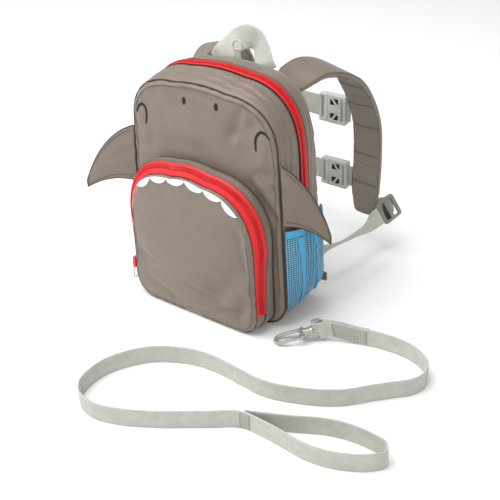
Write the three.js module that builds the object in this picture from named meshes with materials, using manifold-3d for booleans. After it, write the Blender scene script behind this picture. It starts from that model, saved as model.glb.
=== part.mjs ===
// A toddler harness backpack: a small animal-faced bag with side fins, a toothed front pocket,
// padded shoulder straps joined by two chest buckles, and a webbing tether with a swivel hook.
// Millimetres. +X is the bag's left-to-right seen from its front, -Y its front, +Z up.
// The origin is on the floor under the middle of the main compartment.

import * as THREE from 'three';
import { mergeVertices } from 'three/addons/utils/BufferGeometryUtils.js';
import Module from 'manifold-3d';

const wasm = await Module();
wasm.setup();

// Sewn cloth and the gap that neighbouring pieces keep
const cloth = 2;
const gap = 0.3;

// Looser seat of the pocket on the crowned front panel, because that panel is soft
const pocketSeat = 0.8;

// Main compartment
const bagHeight = 252;
const footWidth = 196;
const headWidth = 183;
const bagDepth = 73;
const topCornerAcross = 60;
const topCornerDown = 57;
const topCrown = 3;
const footRadius = 30;
const backHeadWidth = 179;
const backHeight = 257;
const backCornerAcross = 56;
const backCornerDown = 92;
const backFootRadius = 40;
const sideBulge = 5;
const frontCrown = 7;
const backPadding = 6;

// Main zipper, in the middle of the gusset, and where it ends above the floor
const zipperWidth = 12;
const zipperBehindMiddle = 3;
const zipperEnd = 118;
const zipperProud = 0.6;

// Front pocket: its seam on the bag, its own front seam, and how far it stands out
const pocketWidth = 172;
const pocketHeadWidth = 170;
const pocketHeight = 171;
const pocketDepth = 30;
const pocketFaceWidth = 164;
const pocketFaceHeadWidth = 160;
const pocketFaceHeight = 163;
const pocketCornerAcross = 60;
const pocketCornerDown = 72;
const pocketCrown = 3;
const pocketFootRadius = 24;
const pocketBulge = 2;
const pocketFullness = 5;
const pocketFaceCrown = 6;
const pocketSeamBand = 17;
const pocketZipperEnd = 26;

// Teeth along the pocket's top edge
const toothCount = 6;
const teethSpan = 132;
const toothDrop = 7;
const toothThickness = 0.8;
const toothInset = 1.2;

// Side fins
const finRootTop = 189;
const finRootBottom = 123;
const finPad = 5;
const finEdge = 1.6;

// Mesh side pockets
const meshBottom = 24;
const meshTop = 117;
const meshCloth = 1.2;
const meshPouch = 11;
const meshClear = 0.6;
const meshMargin = 2;
const bindingHeight = 8;
const bindingThickness = 2.4;

// Webbing: handle and chest straps are one width, the tether is narrower
const webbingWidth = 25;
const webbing = 1.8;
const tetherWidth = 20;
const adjusterWidth = 20;

// Handle
const handleSpan = 62;
const handleCentre = -1.5;
const handleRise = 28;
const handleLean = 14;

// Ring for the tether, in its own webbing tab behind the handle
const ringWidth = 12;
const ringWire = 2.2;
const ringCentre = -7.5;
const ringTabHeight = 12;
const ringTabWidth = 7;

// Shoulder straps
const strapWidth = 36;
const strapRootWidth = 28;
const strapPad = 7;
const strapSeam = 3;
const strapRoots = { right: 54, left: 61 };
const strapArch = { right: 0, left: 4 };
const strapReach = 119;
const strapOut = 81;
const strapTop = backHeight - 7;
const strapEnd = 48;

// Chest straps and their buckles
const chestHeights = { upper: 171, lower: 89 };
const buckleCentre = 39;
const buckleLength = 34;
const buckleWidth = 33;
const buckleThickness = 9;
const buckleWall = 1.6;
const buckleClearance = 0.4;
const plugLength = 11;
const slotLength = 3;

// Ladder locks at the strap ends and the webbing down to the bag
const lockWidth = 28;
const lockLength = 27;
const lockThickness = 4;
const lockBar = 4.5;
const lockSide = 3.4;
const anchorHeight = 49;
const anchorWidth = 16;
const anchorInset = 14;
const anchorLift = 9;
const tabAbove = 6;
const tabOutset = 8;

// Snap hook. Its swivel eye stands over the webbing, which is on its edge, and the hook
// slopes down from the eye to the floor.
const eyePlace = { x: 135, y: -32.5 };
const eyeLength = 9;
const eyeBar = 2.8;
const eyeRim = 2.4;
const eyeThickness = 3.2;
const barrelLength = 9;
const barrelRadius = 5;
const stemRadius = 2;
const stemPlay = 0.3;
const stemHead = 1.6;
const hookLength = 33;
const hookWidth = 17;
const hookWire = 4;
const hookBase = 4;
const noseLength = 7;
const gateThickness = 2.2;
const gateRoot = 1.7;
const foldLength = 44;

// Zipper slider and its wire pull
const sliderLength = 13;
const sliderWidth = 8;
const sliderThickness = 3.5;
const sliderHeight = 34;
const bailWidth = 3;
const pullLength = 19;
const pullWidth = 7;
const pullWire = 1.5;

const finish = {
  cloth: { color: 0x968a7e, roughness: 0.62, metalness: 0 },
  zipper: { color: 0xe4262c, roughness: 0.5, metalness: 0 },
  tooth: { color: 0xf4f4f2, roughness: 0.6, metalness: 0 },
  mesh: { color: 0x3f9fd2, roughness: 0.7, metalness: 0 },
  binding: { color: 0x55b4e4, roughness: 0.6, metalness: 0 },
  webbing: { color: 0xb9bbb3, roughness: 0.7, metalness: 0 },
  plastic: { color: 0xd0d0cb, roughness: 0.35, metalness: 0 },
};

const bag = new THREE.Group();

function addPiece(name, geometry, look) {
  const mesh = new THREE.Mesh(geometry, new THREE.MeshStandardMaterial(finish[look]));
  mesh.name = name;
  bag.add(mesh);
  return mesh;
}

const mix = (a, b, share) => a + (b - a) * share;
const smooth = (share) => {
  const s = Math.min(Math.max(share, 0), 1);
  return s * s * (3 - 2 * s);
};

// A closed geometry from corners and triangles. Corners that coincide become one, and the
// faces are turned to point out.
function closedSurface(corners, triangles) {
  const volume = triangles.reduce((sum, [a, b, c]) => {
    const cross = new THREE.Vector3().crossVectors(corners[b], corners[c]);
    return sum + corners[a].dot(cross);
  }, 0);
  const order = volume > 0 ? [0, 1, 2] : [0, 2, 1];
  const geometry = new THREE.BufferGeometry();
  geometry.setAttribute('position', new THREE.Float32BufferAttribute(
    corners.flatMap((corner) => corner.toArray()), 3));
  geometry.setIndex(triangles.flatMap((corner) => order.map((k) => corner[k])));
  const merged = mergeVertices(geometry, 1e-3);
  const index = [...merged.index.array];
  const kept = [];
  for (let k = 0; k < index.length; k += 3) {
    const [a, b, c] = index.slice(k, k + 3);
    if (a !== b && b !== c && c !== a) kept.push(a, b, c);
  }
  merged.setIndex(kept);
  merged.computeVertexNormals();
  return merged;
}

// A wall between an outer and an inner face, each a function of two shares from 0 to 1.
// A ring closes on itself in the first direction.
function wall(columns, rows, outer, inner, ring = false) {
  const count = ring ? columns : columns + 1;
  const corners = [];
  for (const face of [outer, inner]) {
    for (let i = 0; i < count; i++) {
      for (let j = 0; j <= rows; j++) corners.push(face(i / columns, j / rows));
    }
  }
  const at = (side, i, j) => (side * count + (i % count)) * (rows + 1) + j;
  const triangles = [];
  const quad = (a, b, c, d) => triangles.push([a, b, c], [a, c, d]);
  for (let i = 0; i < columns; i++) {
    for (let j = 0; j < rows; j++) {
      quad(at(0, i, j), at(0, i + 1, j), at(0, i + 1, j + 1), at(0, i, j + 1));
      quad(at(1, i, j), at(1, i, j + 1), at(1, i + 1, j + 1), at(1, i + 1, j));
    }
    quad(at(0, i, 0), at(1, i, 0), at(1, i + 1, 0), at(0, i + 1, 0));
    quad(at(0, i, rows), at(0, i + 1, rows), at(1, i + 1, rows), at(1, i, rows));
  }
  for (let j = 0; j < rows && !ring; j++) {
    quad(at(0, 0, j), at(0, 0, j + 1), at(1, 0, j + 1), at(1, 0, j));
    quad(at(0, columns, j), at(1, columns, j), at(1, columns, j + 1), at(0, columns, j + 1));
  }
  return closedSurface(corners, triangles);
}

// Flat webbing, a padded strap or a wire: a section carried along stations. A station has a
// centre, unit directions across and through the strip, and its width and thickness.
function strip(stations, section, loop = false) {
  const corners = [];
  for (const { centre, across, through, width, thickness } of stations) {
    for (const [a, b] of section) {
      corners.push(centre.clone().addScaledVector(across, a * width).addScaledVector(through, b * thickness));
    }
  }
  const sides = section.length;
  const last = loop ? stations.length : stations.length - 1;
  const at = (i, k) => (i % stations.length) * sides + (k % sides);
  const triangles = [];
  for (let i = 0; i < last; i++) {
    for (let k = 0; k < sides; k++) {
      const [a, b, c, d] = [at(i, k), at(i, k + 1), at(i + 1, k + 1), at(i + 1, k)];
      if (k < sides / 2) triangles.push([a, b, c], [a, c, d]);
      else triangles.push([a, b, d], [b, c, d]);
    }
  }
  for (let k = 1; k < sides - 1 && !loop; k++) {
    triangles.push([at(0, 0), at(0, k + 1), at(0, k)]);
    triangles.push([at(last, 0), at(last, k), at(last, k + 1)]);
  }
  return closedSurface(corners, triangles);
}

// Stations along a smooth curve through rows that each give a point and a width direction
function stationsThrough(rows, steps, sizeAt) {
  const centres = new THREE.CatmullRomCurve3(rows.map((row) => row.point));
  const widths = new THREE.CatmullRomCurve3(rows.map((row) => row.across));
  return Array.from({ length: steps + 1 }, (_, i) => {
    const share = i / steps;
    const tangent = centres.getTangent(share);
    const through = new THREE.Vector3().crossVectors(tangent, widths.getPoint(share)).normalize();
    const across = new THREE.Vector3().crossVectors(through, tangent).normalize();
    return { centre: centres.getPoint(share), across, through, ...sizeAt(share) };
  });
}

// Sections, as shares of the width and the thickness
const flatSection = [[-0.5, -0.5], [0.5, -0.5], [0.5, 0.5], [-0.5, 0.5]];
const roundSection = (sides) => Array.from({ length: sides }, (_, k) => {
  const turn = (2 * Math.PI * (k + 0.5)) / sides;
  return [0.5 * Math.cos(turn), 0.5 * Math.sin(turn)];
});
const padSection = [
  [-0.5, 0], [-0.47, -0.3], [-0.36, -0.5], [0.36, -0.5], [0.47, -0.3],
  [0.5, 0], [0.47, 0.3], [0.36, 0.5], [-0.36, 0.5], [-0.47, 0.3],
];

// Solid cuts and joins for the moulded plastic pieces
function toSolid(geometry) {
  const bare = geometry.clone();
  bare.deleteAttribute('normal');
  bare.deleteAttribute('uv');
  const merged = mergeVertices(bare, 1e-3);
  return new wasm.Manifold(new wasm.Mesh({
    numProp: 3,
    vertProperties: new Float32Array(merged.attributes.position.array),
    triVerts: new Uint32Array(merged.index.array),
  }));
}

function toGeometry(manifold) {
  const { vertProperties, triVerts } = manifold.getMesh();
  const geometry = new THREE.BufferGeometry();
  geometry.setAttribute('position', new THREE.Float32BufferAttribute(vertProperties, 3));
  geometry.setIndex([...triVerts]);
  geometry.computeVertexNormals();
  return geometry;
}

const box = (x, y, z, at = [0, 0, 0]) => new THREE.BoxGeometry(x, y, z).translate(...at);

// Arch outline seen from the front: flat foot, tapering sides, wide soft top corners.
// It runs from the middle of the foot to +X, up, over the top and back.
function archOutline({ foot, head, height, across, down, crown, radius }) {
  const square = 0.64;
  const round = 0.55;
  const shoulder = height - down;
  const edge = head - across;
  const path = new THREE.Path();
  path.moveTo(0, 0);
  path.lineTo(foot - radius, 0);
  path.bezierCurveTo(foot - radius * (1 - round), 0, foot, radius * (1 - round), foot, radius);
  path.lineTo(head, shoulder);
  path.bezierCurveTo(head, shoulder + down * square, edge + across * square, height - crown,
    edge, height - crown);
  path.quadraticCurveTo(0, height + crown, -edge, height - crown);
  path.bezierCurveTo(-edge - across * square, height - crown, -head, shoulder + down * square,
    -head, shoulder);
  path.lineTo(-foot, radius);
  path.bezierCurveTo(-foot, radius * (1 - round), radius * (1 - round) - foot, 0, radius - foot, 0);
  path.lineTo(0, 0);
  return path;
}

// Point and outward direction of an outline at a share of its length
function outlineAt(outline, share) {
  const wrapped = ((share % 1) + 1) % 1;
  const point = outline.getPointAt(wrapped);
  const tangent = outline.getTangentAt(Math.min(Math.max(wrapped, 1e-4), 1 - 1e-4));
  return { x: point.x, z: point.y, outX: tangent.y, outZ: -tangent.x };
}

// The share at which an outline's +X side passes a height
function shareAtHeight(outline, height) {
  let low = 0.02;
  let high = 0.5;
  for (let k = 0; k < 40; k++) {
    const middle = (low + high) / 2;
    if (outline.getPointAt(middle).y < height) low = middle;
    else high = middle;
  }
  return low;
}

const bagOutline = archOutline({
  foot: footWidth / 2, head: headWidth / 2, height: bagHeight,
  across: topCornerAcross, down: topCornerDown, crown: topCrown, radius: footRadius,
});
const backOutline = archOutline({
  foot: footWidth / 2, head: backHeadWidth / 2, height: backHeight,
  across: backCornerAcross, down: backCornerDown, crown: topCrown, radius: backFootRadius,
});
const pocketSeam = archOutline({
  foot: pocketWidth / 2, head: pocketHeadWidth / 2, height: pocketHeight,
  across: pocketCornerAcross, down: pocketCornerDown, crown: pocketCrown, radius: pocketFootRadius,
});
const pocketRim = archOutline({
  foot: pocketFaceWidth / 2, head: pocketFaceHeadWidth / 2, height: pocketFaceHeight,
  across: pocketCornerAcross, down: pocketCornerDown, crown: pocketCrown, radius: pocketFootRadius,
});

const frontSeamY = -bagDepth / 2;
const backSeamY = bagDepth / 2;
const pocketFaceY = frontSeamY - pocketDepth;

// Soft dents pressed into the front panel: place and size as shares of its half width and
// its height, depth in millimetres. The first is the crease by the upper right corner.
const frontDents = [
  { across: 0.52, up: 0.83, wide: 0.16, tall: 0.09, depth: 3.2 },
  { across: -0.2, up: 0.7, wide: 0.5, tall: 0.06, depth: 1.2 },
  { across: 0.9, up: 0.55, wide: 0.12, tall: 0.2, depth: 1.5 },
];
const pocketDents = [
  { across: -0.7, up: 0.3, wide: 0.3, tall: 0.1, depth: 1.5 },
  { across: 0.55, up: 0.28, wide: 0.3, tall: 0.12, depth: 1.8 },
];

// How far a crowned panel stands out at a point, with its dents taken off
function panelSwell(x, z, halfWidth, height, crown, dents) {
  const across = x / halfWidth;
  const up = z / height;
  const swell = Math.max(0, 1 - across ** 2) * Math.max(0, 1 - (2 * up - 1) ** 2);
  const dent = dents.reduce((sum, d) => {
    const reach = ((across - d.across) / d.wide) ** 2 + ((up - d.up) / d.tall) ** 2;
    return sum + d.depth * Math.exp(-reach);
  }, 0);
  return Math.max(0, crown * swell ** 0.7 - dent * Math.min(1, 4 * swell));
}

const frontPanelY = (x, z) =>
  frontSeamY - panelSwell(x, z, footWidth / 2, bagHeight, frontCrown, frontDents);
const pocketPanelY = (x, z) =>
  pocketFaceY - panelSwell(x, z, pocketFaceWidth / 2, pocketFaceHeight, pocketFaceCrown, pocketDents);

// A cloth panel inside an outline, worked out in rings from its seam to its middle
function panel(outline, height, faceY, thickness, spokes, rings) {
  const middle = height / 2;
  const face = (offset) => (around, inward) => {
    const rim = outlineAt(outline, around);
    const share = 1 - inward;
    const x = rim.x * share;
    const z = middle + (rim.z - middle) * share;
    return new THREE.Vector3(x, faceY(x, z) + offset, z);
  };
  return wall(spokes, rings, face(0), face(thickness), true);
}

// The bag's side wall: between the front and the back outline, and out from them by a bulge
// that is nil at both seams and the foot
function bagWall(share, y, out) {
  const front = outlineAt(bagOutline, share);
  const back = outlineAt(backOutline, share);
  const deep = y / bagDepth + 0.5;
  const rim = {};
  for (const key of ['x', 'z', 'outX', 'outZ']) rim[key] = mix(front[key], back[key], deep);
  const belly = 1 - (2 * y / bagDepth) ** 2;
  const lift = smooth(rim.z / (2 * footRadius));
  const reach = sideBulge * belly * lift + out;
  return new THREE.Vector3(rim.x + rim.outX * reach, y, rim.z + rim.outZ * reach);
}

// A band of the bag's wall between two shares of the outline and two depths
function bagBand(from, to, nearY, farY, proud, thickness, columns, rows) {
  const face = (out) => (around, deep) => bagWall(mix(from, to, around), mix(nearY, farY, deep), out);
  return wall(columns, rows, face(proud), face(proud - thickness));
}

function mainCompartment() {
  const start = shareAtHeight(bagOutline, zipperEnd);
  const end = 1 - start;
  const joint = gap / 2 / bagOutline.getLength();
  const innerFront = frontSeamY + cloth + gap;
  const innerBack = backSeamY - backPadding - gap;
  const tapeFront = zipperBehindMiddle - zipperWidth / 2;
  const tapeBack = zipperBehindMiddle + zipperWidth / 2;
  addPiece('front_panel', panel(bagOutline, bagHeight, frontPanelY, cloth, 48, 6), 'cloth');
  const backShape = new THREE.Shape(backOutline.getSpacedPoints(48).slice(0, -1));
  const back = new THREE.ExtrudeGeometry(backShape, { depth: backPadding, bevelEnabled: false });
  back.rotateX(Math.PI / 2).translate(0, backSeamY, 0);
  addPiece('back_panel', back, 'cloth');
  const arch = (nearY, farY, proud, rows) =>
    bagBand(start + joint, end - joint, nearY, farY, proud, cloth, 40, rows);
  addPiece('gusset_front', arch(innerFront, tapeFront - gap, 0, 3), 'cloth');
  addPiece('main_zipper', arch(tapeFront, tapeBack, zipperProud, 1), 'zipper');
  addPiece('gusset_back', arch(tapeBack + gap, innerBack, 0, 2), 'cloth');
  const lower = bagBand(end + joint - 1, start - joint, innerFront, innerBack, 0, cloth, 32, 4);
  addPiece('gusset_lower', lower, 'cloth');
}

// The pocket's side wall, from its seam on the front panel, deep 0, to its own rim, deep 1.
// It bulges a little all round, and more above the slider, where the pocket is full.
function pocketWall(share, deep, out) {
  const seam = outlineAt(pocketSeam, share);
  const rim = outlineAt(pocketRim, share);
  const foot = 2 * pocketFootRadius;
  const belly = pocketBulge * smooth(seam.z / foot) + pocketFullness * smooth((seam.z - foot) / (1.5 * foot));
  const reach = belly * 4 * deep * (1 - deep) + out;
  const x = mix(seam.x, rim.x, deep) + mix(seam.outX, rim.outX, deep) * reach;
  const z = mix(seam.z, rim.z, deep) + mix(seam.outZ, rim.outZ, deep) * reach;
  const seatY = frontPanelY(x, z) - pocketSeat;
  return new THREE.Vector3(x, mix(seatY, pocketFaceY + cloth + gap, deep), z);
}

function pocketBand(from, to, near, far, proud, columns, rows, ring = false) {
  const face = (out) => (around, deep) => pocketWall(mix(from, to, around), mix(near, far, deep), out);
  return wall(columns, rows, face(proud), face(proud - cloth), ring);
}

function frontPocket() {
  const start = shareAtHeight(pocketRim, pocketZipperEnd);
  const end = 1 - start;
  const joint = gap / 2 / pocketRim.getLength();
  const band = pocketSeamBand / pocketDepth;
  const seamGap = gap / pocketDepth;
  addPiece('pocket_front', panel(pocketRim, pocketFaceHeight, pocketPanelY, cloth, 40, 5), 'cloth');
  addPiece('pocket_gusset', pocketBand(0, 1, 0, band, 0, 40, 1, true), 'cloth');
  addPiece('pocket_zipper', pocketBand(start + joint, end - joint, band + seamGap, 1, zipperProud, 32, 2), 'zipper');
  addPiece('pocket_base', pocketBand(end + joint - 1, start - joint, band + seamGap, 1, 0, 22, 2), 'cloth');
}

// Scallops sewn on the pocket's face, side by side along its top edge
function teeth() {
  const shareAtX = (x) => {
    let low = 0.25;
    let high = 0.75;
    for (let k = 0; k < 40; k++) {
      const middle = (low + high) / 2;
      if (pocketRim.getPointAt(middle).x > x) low = middle;
      else high = middle;
    }
    return low;
  };
  const first = shareAtX(-teethSpan / 2);
  const last = shareAtX(teethSpan / 2);
  const parting = gap / 2 / pocketRim.getLength();
  const rootDepth = 0.12;
  for (let k = 0; k < toothCount; k++) {
    const from = mix(first, last, k / toothCount) - parting;
    const to = mix(first, last, (k + 1) / toothCount) + parting;
    const face = (lift) => (along, down) => {
      const rim = outlineAt(pocketRim, mix(from, to, along));
      const scallop = mix(rootDepth, 1, Math.sin(Math.PI * along) ** 0.6);
      const inward = toothInset + toothDrop * scallop * down;
      const x = rim.x - rim.outX * inward;
      const z = rim.z - rim.outZ * inward;
      return new THREE.Vector3(x, pocketPanelY(x, z) - lift, z);
    };
    addPiece(`tooth_${k + 1}`, wall(8, 1, face(gap + toothThickness), face(gap)), 'tooth');
  }
}

// Each fin's tip: how far out, back and up it lies from the middle of its root, and its root's
// distance from the seam. The fins are soft, so one flops forward and the other back along
// the bag's side, off its bulge.
const finTips = {
  left: { out: 66, back: -14, up: -48, off: 1 },
  right: { out: 40, back: 32, up: -52, off: 1.9 },
};

// A padded fin, sewn along the front side seam. Its upper edge bows out and its lower edge in.
function fin(name, side, tip) {
  const seamX = (z) => outlineAt(bagOutline, shareAtHeight(bagOutline, z)).x;
  const rootMiddle = (finRootTop + finRootBottom) / 2;
  const rootLength = finRootTop - finRootBottom;
  const tipWidth = 8;
  const upperBow = 0.16;
  const lowerBow = 0.1;
  const centreLine = (along, up) => {
    const rootZ = mix(finRootBottom, finRootTop, up);
    const root = new THREE.Vector3(seamX(rootZ) + tip.off, frontSeamY + tip.off, rootZ);
    const end = new THREE.Vector3(seamX(rootMiddle) + tip.out, frontSeamY + tip.back,
      rootMiddle + tip.up + tipWidth * (up - 0.5));
    const bow = 4 * along * (1 - along) * rootLength * mix(lowerBow, upperBow, up);
    const point = root.lerp(end, along);
    point.z += bow;
    point.x += bow * 0.5 * up;
    return point;
  };
  const across = new THREE.Vector3(tip.out, tip.back, tip.up).normalize();
  const normal = new THREE.Vector3().crossVectors(across, new THREE.Vector3(0, 0, 1)).normalize();
  const face = (half) => (along, up) => {
    const round = Math.sin(Math.PI * up) ** 0.5 * Math.sin(Math.PI * mix(0.12, 0.97, along)) ** 0.5;
    const offset = half * mix(finEdge, finPad, round) / 2;
    return centreLine(along, up).addScaledVector(normal, offset);
  };
  const mirrored = (shape) => (along, up) => {
    const point = shape(along, up);
    point.x *= side;
    return point;
  };
  addPiece(name, wall(8, 6, mirrored(face(1)), mirrored(face(-1))), 'cloth');
}

// Folds of a mesh pocket, as shares of the bag's depth: where each lies and how far it stands
const meshFolds = [
  { place: 0.34, wide: 0.07, stands: -3.5 },
  { place: 0.46, wide: 0.05, stands: 2.5 },
  { place: 0.62, wide: 0.08, stands: -3 },
];

function meshPocket(label, side) {
  const bottom = shareAtHeight(bagOutline, meshBottom);
  const split = shareAtHeight(bagOutline, meshTop - bindingHeight);
  const joint = gap / bagOutline.getLength();
  const top = shareAtHeight(bagOutline, meshTop);
  const nearY = frontSeamY + meshMargin;
  const farY = backSeamY - meshMargin;
  const face = (from, to, lift) => (along, up) => {
    const share = mix(from, to, up);
    const height = (share - bottom) / (top - bottom);
    const belly = Math.sin(Math.PI * along) ** 0.8 * Math.sin(Math.PI * 0.5 * Math.min(1, height * 1.4)) ** 0.8;
    const fold = meshFolds.reduce(
      (sum, f) => sum + f.stands * Math.exp(-(((along - f.place) / f.wide) ** 2)), 0);
    const reach = meshClear + Math.max(0, (meshPouch + fold) * belly) + lift;
    const point = bagWall(share, mix(nearY, farY, along), reach);
    point.x *= side;
    return point;
  };
  const pouch = wall(14, 6, face(bottom, split - joint, meshCloth), face(bottom, split - joint, 0));
  addPiece(`mesh_pocket_${label}`, pouch, 'mesh');
  const band = wall(14, 1, face(split, top, bindingThickness), face(split, top, 0));
  addPiece(`mesh_binding_${label}`, band, 'binding');
}

// Handle: sewn flat to the back panel at both ends, twisting so that its middle stands on edge.
// Places are shares of its span, lean and rise; the width direction is given beside them.
const handleRows = [
  { along: -0.5, back: 0.14, up: -0.34, w: [-0.87, 0, 0.47] },
  { along: -0.42, back: 0.16, up: -0.08, w: [-0.87, 0, 0.48] },
  { along: -0.29, back: 0.5, up: 0.3, w: [-0.74, 0.3, 0.62] },
  { along: -0.13, back: 0.9, up: 0.58, w: [-0.38, 0.22, 0.9] },
  { along: 0.04, back: 1, up: 0.66, w: [0.06, 0, 1] },
  { along: 0.2, back: 0.9, up: 0.54, w: [0.5, -0.08, 0.85] },
  { along: 0.32, back: 0.55, up: 0.24, w: [0.82, -0.1, 0.54] },
  { along: 0.42, back: 0.18, up: -0.08, w: [0.87, 0, 0.48] },
  { along: 0.5, back: 0.14, up: -0.34, w: [0.87, 0, 0.47] },
];

function handle() {
  const seatY = backSeamY + gap + webbing / 2;
  const rows = handleRows.map(({ along, back, up, w }) => ({
    point: new THREE.Vector3(handleCentre + along * handleSpan,
      seatY + (back - 0.1) * handleLean, backHeight + up * handleRise),
    across: new THREE.Vector3(...w),
  }));
  const size = () => ({ width: webbingWidth, thickness: webbing });
  addPiece('handle', strip(stationsThrough(rows, 36, size), flatSection), 'webbing');
}

// Shoulder strap centre line, as shares of its reach behind the bag and of its drop,
// with its width direction and its sideways drift from its root to where it hangs. It leaves the
// top back seam, arches over and hangs down; the left one is rooted wider and arches higher.
const strapRows = [
  { drift: 0, back: 0, down: 0.036, w: [0.86, 0, -0.51] },
  { drift: 0, back: 0.05, down: 0.036, w: [0.86, 0, -0.51] },
  { drift: 0.25, back: 0.28, down: 0.015, w: [0.95, 0, -0.32] },
  { drift: 0.48, back: 0.5, down: 0.05, w: [0.97, -0.05, -0.24] },
  { drift: 0.7, back: 0.71, down: 0.13, w: [0.98, -0.08, -0.14] },
  { drift: 0.87, back: 0.87, down: 0.27, w: [1, -0.08, -0.05] },
  { drift: 0.98, back: 0.97, down: 0.43, w: [1, -0.08, 0] },
  { drift: 1, back: 1, down: 0.62, w: [1, -0.08, 0] },
  { drift: 0.97, back: 1, down: 0.82, w: [1, -0.08, 0] },
  { drift: 0.93, back: 0.98, down: 1, w: [1, -0.08, 0] },
];

function strapPoint(row, side) {
  const label = side > 0 ? 'right' : 'left';
  const lift = strapArch[label] * Math.max(0, 4 * (row.back - 0.25) * (1 - row.back));
  return new THREE.Vector3(side * mix(strapRoots[label], strapOut, row.drift),
    backSeamY + gap + row.back * strapReach, strapTop + lift - row.down * (strapTop - strapEnd));
}

function shoulderStrap(label, side) {
  const rows = strapRows.map((row) => ({
    point: strapPoint(row, side),
    across: new THREE.Vector3(side * row.w[0], row.w[1], row.w[2]),
  }));
  const endRound = 0.09;
  const size = (share) => {
    const seam = smooth(share / 0.2);
    const tail = Math.min(1, (1 - share) / endRound);
    return {
      width: mix(strapRootWidth, strapWidth, seam) * mix(0.5, 1, Math.sqrt(tail)),
      thickness: mix(strapSeam, strapPad, seam) * mix(0.6, 1, Math.sqrt(tail)),
    };
  };
  addPiece(`shoulder_strap_${label}`, strip(stationsThrough(rows, 28, size), padSection), 'cloth');
}

// Where the strap's centre line passes a height on its hanging stretch
function strapAtHeight(height, side) {
  const curve = new THREE.CatmullRomCurve3(strapRows.map((row) => strapPoint(row, side)));
  let low = 0.45;
  let high = 1;
  for (let k = 0; k < 40; k++) {
    const middle = (low + high) / 2;
    if (curve.getPoint(middle).z > height) low = middle;
    else high = middle;
  }
  return curve.getPoint(low);
}

// A fastened side release buckle lying along X: a hollow socket with two side windows,
// and a plug with two prongs inside it
function buckle(level, height) {
  const y = strapAtHeight(height, 1).y;
  const socketLength = buckleLength - plugLength;
  const bar = slotLength;
  const hollow = socketLength - 2 * bar - buckleWall;
  const right = socketLength / 2;
  let socket = toSolid(box(socketLength, buckleThickness, buckleWidth));
  const cavity = box(hollow + 1, buckleThickness - 2 * buckleWall, buckleWidth - 2 * buckleWall - 3,
    [-right + hollow / 2 - 0.5, 0, 0]);
  const slot = box(bar, buckleThickness + 2, webbingWidth + 1, [right - 1.5 * bar, 0, 0]);
  const windowDepth = 8;
  const windowLength = hollow * 0.7;
  socket = socket.subtract(toSolid(cavity)).subtract(toSolid(slot));
  for (const up of [-1, 1]) {
    const window = box(windowLength, buckleThickness + 2, windowDepth,
      [-right + hollow * 0.55, 0, up * (buckleWidth / 2 - windowDepth / 2 - 3.8)]);
    socket = socket.subtract(toSolid(window));
  }
  const socketX = buckleCentre + buckleLength / 2 - socketLength / 2;
  const place = (mesh, x) => mesh.position.set(x, y, height);
  place(addPiece(`${level}_socket`, toGeometry(socket), 'plastic'), socketX);

  const prong = hollow - 2 * buckleClearance;
  const inside = buckleThickness - 2 * buckleWall - 2 * buckleClearance;
  const baseX = -plugLength / 2;
  let plug = toSolid(box(plugLength - gap, buckleThickness, buckleWidth, [baseX - gap / 2, 0, 0]));
  plug = plug.subtract(toSolid(box(bar, buckleThickness + 2, webbingWidth + 1, [-plugLength + 1.5 * bar, 0, 0])));
  const reach = (buckleWidth - 2 * buckleWall - 3) / 2 - buckleClearance;
  for (const up of [-1, 0, 1]) {
    const length = up === 0 ? prong * 0.8 : prong;
    const tall = up === 0 ? 5 : 4;
    const arm = box(length + 2, inside, tall, [length / 2 - 1, 0, up * (reach - tall / 2)]);
    plug = plug.add(toSolid(arm));
  }
  place(addPiece(`${level}_plug`, toGeometry(plug), 'plastic'), buckleCentre - buckleLength / 2 + plugLength);
}

// Chest webbing from each strap's inner edge to the buckle bar it is sewn round
function chestWebbing(level, height) {
  const y = strapAtHeight(height, 1).y;
  const strapX = [-0.5, 0, 0.5].map((share) => strapAtHeight(height + share * webbingWidth, 1).x);
  const inner = Math.min(...strapX) - strapWidth / 2 - gap;
  const socketEnd = buckleCentre + buckleLength / 2 + gap;
  const plugEnd = buckleCentre - buckleLength / 2 - gap;
  const strand = (name, from, to) => {
    const sag = 3;
    const steps = 6;
    const stations = Array.from({ length: steps + 1 }, (_, i) => {
      const share = i / steps;
      const dip = sag * 4 * share * (1 - share) * Math.abs(to - from) / (2 * inner);
      return {
        centre: new THREE.Vector3(mix(from, to, share), y + dip, height),
        across: new THREE.Vector3(0, 0, 1),
        through: new THREE.Vector3(0, -1, 0),
        width: webbingWidth, thickness: webbing,
      };
    });
    addPiece(name, strip(stations, flatSection), 'webbing');
  };
  strand(`chest_${level}_right`, socketEnd, inner);
  strand(`chest_${level}_left`, -inner, plugEnd);
}

// Ladder lock: a plate with two webbing slots between three bars. Its long side stands
// steeply, because the webbing twists there.
const lockCentre = { x: 106, y: 165, z: 55 };
const lockAcross = new THREE.Vector3(0.5, 0.12, -0.86).normalize();
const lockTravel = new THREE.Vector3(-0.25, -0.93, -0.27).normalize();

function lockFrame(side) {
  const flip = (v) => new THREE.Vector3(side * v.x, v.y, v.z);
  const across = flip(lockAcross);
  const travel = flip(lockTravel);
  const normal = new THREE.Vector3().crossVectors(across, travel).normalize();
  const along = new THREE.Vector3().crossVectors(normal, across).normalize();
  const centre = flip(new THREE.Vector3(lockCentre.x, lockCentre.y, lockCentre.z));
  return { across, along, normal, centre };
}

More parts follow.
